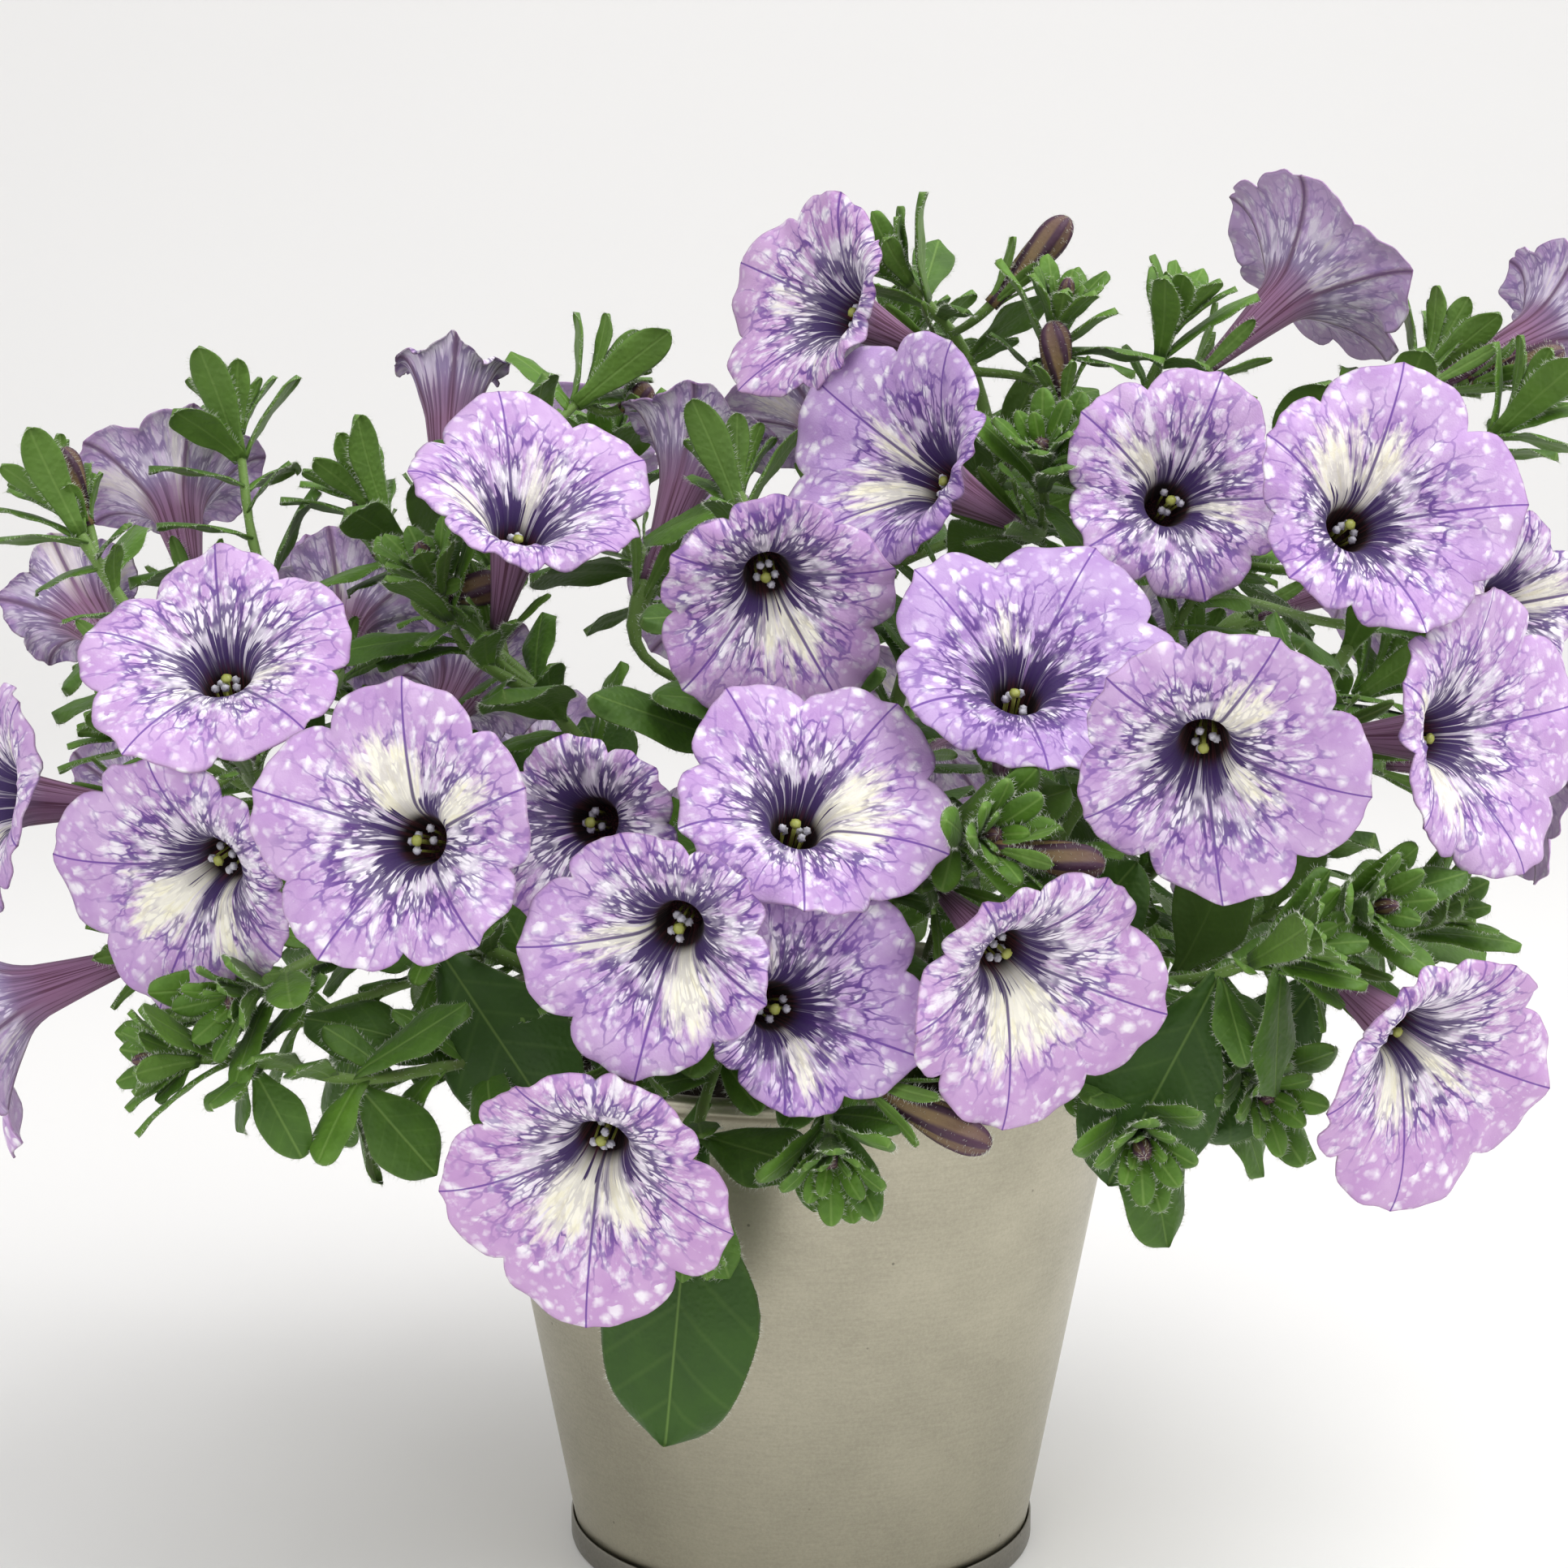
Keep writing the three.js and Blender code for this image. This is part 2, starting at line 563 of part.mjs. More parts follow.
// A stem that ends in a tuft: young leaves standing round a closed bud.
function stem(line, thick, thin) {
  const radiusAt = (i) => thick + ((thin - thick) * i) / (line.length - 1);
  const rings = ringsAlong(line, radiusAt, TIP_LEAVES);
  const end = line.at(-1);
  const axis = end.clone().sub(line.at(-2)).normalize();
  const [rise, side] = acrossFrame(axis);
  const ring = (count, place) => Array.from({ length: count }, (_, i) => {
    const turn = (2 * Math.PI * i) / count;
    const [height, distance] = place(i);
    return end.clone()
      .addScaledVector(axis, height)
      .addScaledVector(rise, distance * Math.cos(turn))
      .addScaledVector(side, distance * Math.sin(turn));
  });
  const turnsBack = rings.length;
  const isTip = (i) => i % 2 === 0;
  const spread = (i) => (isTip(i) ? [TIP_LEAF_LENGTH, TIP_LEAF_SPREAD] : [TIP_CUP, TIP_CUP]);
  rings.push(ring(2 * TIP_LEAVES, spread));
  rings.push(ring(TIP_LEAVES, () => [BUD_FOOT, BUD_RADIUS]));
  rings.push([end.clone().addScaledVector(axis, BUD_LENGTH)]);
  return loft(rings, turnsBack);
}

// A flower stalk: it leaves the shoot, turns into the bloom's axis and ends in the calyx.
function stalkLine(start, bloom) {
  const end = bloom.point(-TUBE_LENGTH - CALYX_DEPTH, 0, 0);
  const span = end.distanceTo(start);
  const outOf = start.clone().lerp(end, 0.3).add(vec(0, 0, 0.1 * span));
  const into = end.clone().addScaledVector(bloom.axis, -0.4 * span);
  const curve = new THREE.CubicBezierCurve3(start, outOf, into, end);
  return curve.getPoints(2);
}

function stalkAndCalyx(start, bloom) {
  const line = stalkLine(start, bloom).slice(0, -1);
  const foot = -TUBE_LENGTH - CALYX_DEPTH;
  const seat = -TUBE_LENGTH - GAP;
  const radii = [0.6 * STALK_RADIUS, STALK_RADIUS];
  const rings = ringsAlong(line, (i) => radii[i], LOBES);
  rings.push(bloom.ring(LOBES, (angle) => bloom.point(foot, CALYX_FOOT_RADIUS, angle + HALF_LOBE)));
  rings.push(bloom.ring(2 * LOBES, (angle) => {
    const isSepal = Math.round((angle - bloom.roll) / HALF_LOBE) % 2 === 0;
    if (isSepal) return bloom.point(seat + SEPAL_LENGTH, SEPAL_SPREAD, angle);
    return bloom.point(seat + CUP_DEPTH, CUP_RADIUS, angle);
  }));
  rings.push([bloom.point(seat - CALYX_FLOOR, 0, 0)]);
  return loft(alignRings(rings), rings.length - 2);
}

// Turns each ring to start nearest to where the next one starts, so that the skin doesn't twist.
function alignRings(rings) {
  for (let k = rings.length - 2; k >= 0; k--) {
    if (rings[k].length !== rings[k + 1].length) continue;
    const target = rings[k + 1][0];
    const away = rings[k].map((point) => point.distanceTo(target));
    const best = away.indexOf(Math.min(...away));
    rings[k] = [...rings[k].slice(best), ...rings[k].slice(0, best)];
  }
  return rings;
}

class Leaf {
  constructor(root, along, face, length, width, droop) {
    Object.assign(this, { root, along, face, length, width, droop });
    this.across = vec(0, 0, 0).crossVectors(along, face).normalize();
  }

  // A point on the leaf: a share of its length, a side from -1 to 1, and a lift off the blade.
  point(share, side, lift) {
    const half = this.halfWidth(share) * side;
    const bend = -this.droop * this.length * share * share;
    return this.root.clone()
      .addScaledVector(this.along, this.length * share)
      .addScaledVector(this.across, half)
      .addScaledVector(this.face, bend + lift);
  }

  halfWidth(share) {
    if (share >= 1) return 0;
    return Math.max(0.6, (this.width / 2) * Math.sin(Math.PI * share ** 0.85) ** 0.8);
  }

  section(share) {
    return [this.point(share, -1, 0), this.point(share, 0, LEAF_RIDGE), this.point(share, 1, 0)];
  }

  body() {
    const sunk = this.root.clone().addScaledVector(this.along, -LEAF_SUNK);
    return loft([[sunk], this.section(0.4), this.section(0.76), [this.point(1, 0, 0)]]);
  }

  samples() {
    const points = [];
    for (const share of [0.25, 0.5, 0.75, 1]) {
      for (const side of share < 1 ? [-1, 0, 1] : [0]) points.push(this.point(share, side, 0));
    }
    return points;
  }
}

// ---- How a shoot grows ----

// Leaves stand along each route, each turned from the last by the golden angle. A leaf that would
// meet a bloom, the pot or another leaf is tried at other turns and smaller, and else left out.
const blooms = BLOOMS.map((row) => new Bloom(row));
const crowd = []; // points that new leaves keep clear of
const LEAF_TRIES = [0, 45, -45, 90, -90, 180];
const LEAF_CLEAR = 5; // from other leaves and stems
const BLOOM_CLEAR = 1.5;
const POT_CLEAR = 6;

function inPot(point) {
  const distance = Math.hypot(point.x, point.y);
  return point.z < POT_HEIGHT + 2 && distance < wallRadius(point.z) + POT_CLEAR;
}

function isFree(leaf) {
  return leaf.samples().every((point) => {
    if (inPot(point) || blooms.some((bloom) => bloom.covers(point, BLOOM_CLEAR))) return false;
    return !crowd.some((other) => other.distanceTo(point) < LEAF_CLEAR);
  });
}

// A leaf that stands out of its stem at a turn round it; a draw from 0 to 1 tilts its face.
function leafAt(root, tangent, turn, size, draw) {
  const [rise, side] = acrossFrame(tangent);
  const outward = rise.clone().multiplyScalar(Math.cos(radians(turn)))
    .addScaledVector(side, Math.sin(radians(turn)));
  const fromPot = vec(root.x, root.y, 0).normalize();
  const along = outward.multiplyScalar(0.85)
    .addScaledVector(tangent, 0.4)
    .addScaledVector(fromPot, 0.35)
    .normalize();
  const face = fromPot.multiplyScalar(0.55).add(vec(0.5 * draw - 0.25, 0, 1));
  face.addScaledVector(along, -face.dot(along)).normalize();
  return new Leaf(root, along, face, size, LEAF_WIDTH * size, LEAF_DROOP);
}

// A broad leaf leaves a shoot's nearest point for a given tip, its face turned up and outward.
function broadLeaf(points, near, tip, width) {
  const away = points.map((point) => point.distanceTo(near));
  const root = points[away.indexOf(Math.min(...away))];
  const along = tip.clone().sub(root);
  const length = along.length();
  along.normalize();
  const fromPot = vec(root.x, root.y, 0).normalize();
  const face = fromPot.multiplyScalar(0.8).add(vec(0, 0, 1));
  face.addScaledVector(along, -face.dot(along)).normalize();
  return new Leaf(root, along, face, length, width, 0);
}

function growLeaves(line, draw, isFirst) {
  const leaves = [];
  const total = line.slice(1).reduce((sum, point, i) => sum + point.distanceTo(line[i]), 0);
  let walked = 0;
  let due = isFirst ? 2.2 * LEAF_SPACING : LEAF_SPACING;
  let turn = 360 * draw();
  for (let i = 1; i < line.length; i++) {
    const step = line[i].clone().sub(line[i - 1]);
    const length = step.length();
    while (due <= walked + length && due < total - 4) {
      const root = line[i - 1].clone().addScaledVector(step, (due - walked) / length);
      const tangent = step.clone().normalize();
      const young = due / total;
      const size = (LEAF_LONGEST + (LEAF_SHORTEST - LEAF_LONGEST) * young) * (0.85 + 0.3 * draw());
      const tilt = draw();
      for (const attempt of LEAF_TRIES) {
        const leaf = leafAt(root, tangent, turn + attempt, attempt === 0 ? size : 0.85 * size, tilt);
        if (!isFree(leaf)) continue;
        leaves.push(leaf);
        crowd.push(...leaf.samples());
        break;
      }
      turn += LEAF_TURN;
      due += LEAF_SPACING;
    }
    walked += length;
  }
  return leaves;
}

// The point of a shoot's lines that a bloom's stalk leaves from: behind the bloom, a stalk away.
function stalkStart(lines, bloom) {
  const end = bloom.point(-TUBE_LENGTH - CALYX_DEPTH, 0, 0);
  let best = null;
  for (const line of lines) {
    for (const point of line.slice(2)) {
      const back = end.clone().sub(point);
      const tooFarOn = Math.max(0, CALYX_DEPTH - back.dot(bloom.axis));
      const cost = Math.abs(back.length() - STALK_LENGTH) + 3 * tooFarOn;
      if (!best || cost < best.cost) best = { point, cost };
    }
  }
  return best.point;
}

class Shoot {
  constructor(name, routes, seed) {
    this.name = `shoot_${name}`;
    this.draw = dice(seed);
    this.lines = routes.map(smooth);
    const [x, y] = routes[0][0];
    this.foot = [x, y];
    this.lines[0].unshift(vec(x, y, STEM_FOOT));
    const carried = blooms.filter((bloom) => bloom.shoot === name);
    this.stalks = carried.map((bloom) => [stalkStart(this.lines, bloom), bloom]);
    const broad = BROAD_LEAVES.filter(([owner]) => owner === name);
    this.broad = broad.map(([, near, tip, width]) => {
      return broadLeaf(this.lines.flat(), vec(...near), vec(...tip), width);
    });
  }

  skeleton() {
    const pieces = this.lines.map((line, i) => {
      return i === 0 ? stem(line, STEM_RADIUS, STEM_TIP_RADIUS) : stem(line, TWIG_RADIUS, TWIG_RADIUS);
    });
    for (const [start, bloom] of this.stalks) pieces.push(stalkAndCalyx(start, bloom));
    return pieces.reduce((whole, piece) => whole.add(piece));
  }

  // The points of its stems, stalks and broad leaves, which other leaves keep clear of.
  claimSpace() {
    for (const line of this.lines) crowd.push(...line.slice(3));
    for (const leaf of this.broad) crowd.push(...leaf.samples());
    for (const [start, bloom] of this.stalks) crowd.push(...stalkLine(start, bloom).slice(1));
  }

  leaves() {
    return [...this.broad, ...this.lines.flatMap((line, i) => growLeaves(line, this.draw, i === 0))];
  }
}

const shoots = Object.entries(SHOOTS).map(([name, routes], i) => new Shoot(name, routes, 4021 + 331 * i));

const bodies = new Map();
for (const bloom of blooms) bodies.set(bloom.name, bloom.body());
for (const shoot of shoots) bodies.set(shoot.name, shoot.skeleton());

function boxesMeet(a, b) {
  return [0, 1, 2].every((i) => a.min[i] <= b.max[i] && b.min[i] <= a.max[i]);
}

function meetsOther(piece, own) {
  const box = piece.boundingBox();
  for (const [name, other] of bodies) {
    if (name === own || !boxesMeet(box, other.boundingBox())) continue;
    if (piece.intersect(other).volume() > 0) return true;
  }
  return false;
}

for (const shoot of shoots) shoot.claimSpace();
for (const shoot of shoots) {
  for (const leaf of shoot.leaves()) {
    const body = leaf.body();
    if (!meetsOther(body, shoot.name)) bodies.set(shoot.name, bodies.get(shoot.name).add(body));
  }
}

// ---- The assembled plant in its pot ----

const finishes = {
  zinc: { color: ZINC, roughness: 0.42, metalness: 1 },
  compost: { color: COMPOST, roughness: 0.95, metalness: 0 },
  leaf: { color: LEAF_GREEN, roughness: 0.6, metalness: 0 },
  petal: { color: PETAL_LILAC, roughness: 0.7, metalness: 0 },
};

function piece(name, geometry, finish) {
  const mesh = new THREE.Mesh(geometry, new THREE.MeshStandardMaterial(finishes[finish]));
  mesh.name = name;
  return mesh;
}

const pot = new THREE.Group();
pot.add(piece('pot_wall', potWall(), 'zinc'));
pot.add(piece('pot_base', potBase(), 'zinc'));
pot.add(piece('compost', compost(shoots.map((shoot) => shoot.foot)), 'compost'));

const plant = new THREE.Group();
for (const [name, body] of bodies) {
  plant.add(piece(name, geometryOf(body), name.startsWith('bloom') ? 'petal' : 'leaf'));
}

const whole = new THREE.Group();
whole.add(pot, plant);

export default whole;
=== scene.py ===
# A speckled lilac petunia growing in a tapered zinc pot, dressed for a bright, soft studio photograph.
# The plant is worked out in millimetres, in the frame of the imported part, and its meshes are in metres.

import math

import bpy
import numpy as np
from bpy.props import FloatProperty, FloatVectorProperty, IntProperty, PointerProperty
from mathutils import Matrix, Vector
from mathutils.kdtree import KDTree


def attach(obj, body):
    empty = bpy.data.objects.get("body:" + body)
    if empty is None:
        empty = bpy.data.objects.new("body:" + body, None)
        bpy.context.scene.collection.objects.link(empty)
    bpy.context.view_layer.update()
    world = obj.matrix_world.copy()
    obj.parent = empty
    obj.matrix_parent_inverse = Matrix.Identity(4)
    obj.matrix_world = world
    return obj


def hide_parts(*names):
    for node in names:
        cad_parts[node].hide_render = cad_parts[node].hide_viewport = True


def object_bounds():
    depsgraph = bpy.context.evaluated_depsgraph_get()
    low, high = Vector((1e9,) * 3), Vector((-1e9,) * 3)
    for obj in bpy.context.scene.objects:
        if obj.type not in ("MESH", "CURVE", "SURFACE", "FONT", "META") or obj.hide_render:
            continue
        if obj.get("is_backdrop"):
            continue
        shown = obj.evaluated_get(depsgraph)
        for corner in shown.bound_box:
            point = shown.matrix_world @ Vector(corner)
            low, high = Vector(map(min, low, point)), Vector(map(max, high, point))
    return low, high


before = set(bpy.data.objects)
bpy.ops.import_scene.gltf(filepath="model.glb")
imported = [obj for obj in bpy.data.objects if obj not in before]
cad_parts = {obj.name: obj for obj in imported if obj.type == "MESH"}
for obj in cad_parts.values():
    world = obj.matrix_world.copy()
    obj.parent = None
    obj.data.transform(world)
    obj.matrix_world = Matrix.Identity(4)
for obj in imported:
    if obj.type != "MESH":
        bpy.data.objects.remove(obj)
CAD_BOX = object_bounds()

bl_info = {
    "name": "Potted Petunia",
    "version": (1, 0, 0),
    "blender": (4, 5, 0),
    "location": "3D Viewport > Sidebar > Petunia",
    "description": "Builds a speckled lilac petunia in a zinc pot",
    "category": "Add Mesh",
}

MM = 0.001


def linear(hex_colour):
    """An sRGB hex colour as linear red, green and blue."""
    channels = [int(hex_colour[i : i + 2], 16) / 255 for i in (1, 3, 5)]
    return tuple(c / 12.92 if c <= 0.04045 else ((c + 0.055) / 1.055) ** 2.4 for c in channels)


# ---- The pot, in millimetres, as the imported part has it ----

POT_HEIGHT = 125
SHEET = 1
WALL_FOOT_RADIUS = 52.3
WALL_RIM_RADIUS = 75.3
RIM_BEAD_RADIUS = 2.1
FOOT_RADIUS = 54
FOOT_HEIGHT = 6
FOOT_FLANGE = 5
BASE_RECESS = 3.5
GAP = 0.3
SOIL_LEVEL = 112
SOIL_CROWN = 3
STEM_FOOT = 100
SEAM_RADIUS = 65  # of the wall, about half way up its seam
SEAM_HALF_WIDTH = 2.4
SEAM_RISE = 0.7
CRUMBS = 900  # that lie on the compost

# ---- A bloom, in millimetres along its own axis from the throat ----

LOBES = 5
LOBE = 360 / LOBES
TUBE_LENGTH = 29
TUBE_PROFILE = ((-29, 1.9), (-14, 4.0), (0, 6.5))  # height, radius
THROAT_RADIUS = 7.2
RUFFLE = 1.9
NOTCH = 0.15  # depth of the notch between two lobes, of the bloom's radius
NOTCH_WIDTH = 6.5  # degrees from the middle of a notch to where it is a third as deep
PETAL_LIFT = 0.15  # from the surface that height and ruffle give to the back of the petals
CALYX_DEPTH = 6
CALYX_FOOT_RADIUS = 1.6
CALYX_FOOT = -33.5  # height at which the sepals start
SEPAL_LENGTH = 13
SEPAL_SPREAD = 7.6
STALK_LENGTH = 24

# ---- Leaves, in millimetres ----

LEAF_SPACING = 25
LEAF_TURN = 137.5
LEAF_LONGEST = 44
LEAF_SHORTEST = 24
LEAF_WIDTH = 0.6  # of its length
LEAF_DROOP = 0.16
YOUNG_LEAF_WIDTH = 0.46  # of its length
BROAD_LEAF_WIDTH = 20  # of the leaves that stand out, a narrower one is young
LARGE_LEAF_LENGTH = 20  # a longer leaf is drawn with more points
# Each ring of leaves at a stem's tip: how many, the turn of the first, how far out and how far up
# their tips are, and how far up their feet.
TIP_RINGS = ((4, 0, 8, 15, 0), (4, 45, 5.8, 14, 0.5), (3, 20, 2.8, 11, 2.5), (3, 75, 12, 14, -6))
LEAF_TRIES = (0, 45, -45, 90, -90, 180)  # turns that a leaf tries until it finds room
LEAF_CLEAR = 5  # between leaves
YOUNG_LEAF_CLEAR = 2.2  # the same for a young leaf, as below
BLOOM_CLEAR = 1.5  # between a leaf and a bloom
YOUNG_BLOOM_CLEAR = 2.0
FACE_CLEAR = 26  # no leaf stands this near before a bloom's face
POT_CLEAR = 6  # between a leaf and the pot's wall
RIM_CLEAR = 2  # above the pot, where leaves may cross the wall
FRINGE_DENSITY = 3.0  # hairs for each mm of a leaf's edge
COAT_DENSITY = 0.8  # hairs for each square mm of a stem

# ---- The stage, in metres ----

KEY_PLACE, KEY_AIM, KEY_SIZE = (0.6, -0.25, 1.2), (0, 0, 0.1), 1.2
FILL_PLACE, FILL_AIM, FILL_SIZE = (-0.7, -1.1, 0.7), (0, 0, 0.15), 1.0
CAMERA_PLACE = (-0.004, -0.78857, 0.32415)

# Each bloom: name, throat x, y, z, yaw (0 looks to the front, 90 to the right), pitch up, radius,
# depth of the cup, how far the petals' middle lies off the throat and toward which angle (0 is up,
# 90 to the left as the bloom is looked at), and the shoot that carries it.
BLOOMS = [
    ("01", -75, -122, 190, -15, 15, 28, 7, 3, 60, "front_left"),
    ("02", -117, -85, 217, -5, 48, 27.5, 7, 2.5, 180, "left"),
    ("03", -118, -97, 179, -22, -12, 26.5, 7, 6.5, 100, "front_left"),
    ("04", -43, -94, 188, -10, 12, 19.5, 6, 3, 170, "front"),
    ("05", -25, -128, 173, -8, -2, 24, 7, 5.5, 125, "front"),
    ("06", -1, -103, 190, 12, 42, 27.5, 7, 3, 300, "upper"),
    ("07", -5, -116, 155, 15, 10, 23, 7, 7, 285, "front"),
    ("08", 40, -118, 165, 25, -15, 27.5, 8, 7, 210, "front"),
    ("09", 43, -88, 214, 6, 45, 29, 7, 5, 320, "front_right"),
    ("10", 77, -116, 206, -8, -14, 28, 8, 4, 270, "front_right"),
    ("11", 79, -32, 246, 5, 18, 25, 7, 2.5, 340, "right"),
    ("12", 113, -68, 245, 12, 22, 28, 10, 5, 300, "right"),
    ("13", 131, -70, 201, 42, 8, 29.5, 9, 6.5, 265, "right"),
    ("14", 28, -38, 251, -44, 24, 27, 11, 8.5, 75, "top"),
    ("15", -7, -70, 233, 6, -12, 24.5, 7, 4.5, 195, "upper"),
    ("16", -60, -45, 241, 20, 52, 25.5, 11, 4, 325, "upper_left"),
    ("17", 9, -8, 285, -48, 22, 23.5, 8, 6.5, 90, "top"),
    ("18", -144, 24, 239, -160, 42, 22, 10, 0, 0, "left"),
    ("19", -82, 40, 261, 175, 64, 13, 10, 0, 0, "upper_left"),
    ("20", -26, 20, 246, 150, 52, 19, 12, 0, 0, "top"),
    ("21", 112, 30, 287, 123, 34, 27, 11, 0, 0, "upper_right"),
    ("22", 169, 25, 278, 115, 20, 20, 8, 0, 0, "upper_right"),
    ("23", -40, -126, 129, -10, -17, 28.5, 8, 7, 168, "front"),
    ("24", 121, -100, 145, 30, -17, 28.5, 9, 8, 205, "front_right"),
    ("25", -166, -60, 186, -55, 10, 25, 7, 0, 0, "left"),
    ("26", -162, -75, 147, -82, -18, 27, 12, 3, 180, "front_left"),
    ("27", -81, 40, 193, 165, 25, 20, 9, 0, 0, "back_left"),
    ("28", -165, 18, 215, -150, 16, 16, 9, 0, 0, "left"),
    ("29", 153, -20, 221, 40, 12, 20, 7, 0, 0, "right"),
    ("30", -105, 18, 212, -178, 14, 20, 8, 0, 0, "left"),
    ("31", -120, 88, 200, -127, 15, 26, 7, 3, 180, "back_left"),
    ("32", -70, 118, 162, -150, 8, 27, 7, 4, 200, "back_left"),
    ("33", -20, 124, 207, -175, 15, 26, 7, 3, 160, "back"),
    ("34", 35, 128, 170, 170, 3, 27, 7, 4, 220, "back"),
    ("35", 84, 106, 198, 145, 10, 26, 7, 3, 150, "back_right"),
    ("36", 134, 72, 216, 118, 15, 26, 7, 4, 190, "back_right"),
    ("37", 166, 38, 176, 100, -2, 25, 8, 3, 170, "back_right"),
    ("38", -160, 52, 162, -105, 2, 25, 7, 3, 180, "back_left"),
    ("39", 86, 92, 236, 150, 30, 23, 7, 0, 0, "back_top"),
    ("40", 6, 76, 254, -175, 40, 26, 7, 3, 30, "back_top"),
    ("41", -54, 92, 236, -150, 25, 25, 7, 3, 0, "back_top"),
    ("42", 108, 96, 156, 130, -15, 26, 8, 5, 180, "back_right"),
    ("43", -36, 122, 136, -165, -15, 25, 8, 5, 190, "back"),
]

# How a bloom is marked: how much cream, violet and pink it has, from 0 to 1, and toward which angles
# its larger and its smaller cream patch lie, measured as above.
USUAL_MARKINGS = (0.6, 0.5, 0.2)
MARKINGS = {
    "01": (0.95, 0.5, 0.15, 22, 305),
    "02": (0.5, 0.5, 0.2, 255, 140),
    "03": (0.95, 0.5, 0.15, 125, 195),
    "04": (0.3, 0.55, 0.3, 170, 60),
    "05": (0.85, 0.6, 0.1, 195, 95),
    "06": (0.8, 0.7, 0.1, 283, 240),
    "07": (0.55, 0.8, 0.05, 200, 10),
    "08": (0.9, 0.45, 0.4, 175, 215),
    "09": (0.45, 1.0, 0.0, 3, 260),
    "10": (0.8, 0.6, 0.1, 325, 235),
    "11": (0.7, 0.6, 0.15, 40, 255),
    "12": (0.9, 0.7, 0.1, 25, 330),
    "13": (0.9, 0.5, 0.15, 150, 60),
    "14": (0.8, 0.9, 0.0, 120, 60),
    "15": (0.6, 0.6, 0.3, 185, 215),
    "16": (0.7, 0.6, 0.1, 80, 330),
    "17": (0.4, 0.5, 0.5, 90, 200),
    "23": (0.95, 0.35, 0.55, 150, 205),
    "24": (0.8, 0.4, 0.5, 160, 230),
}

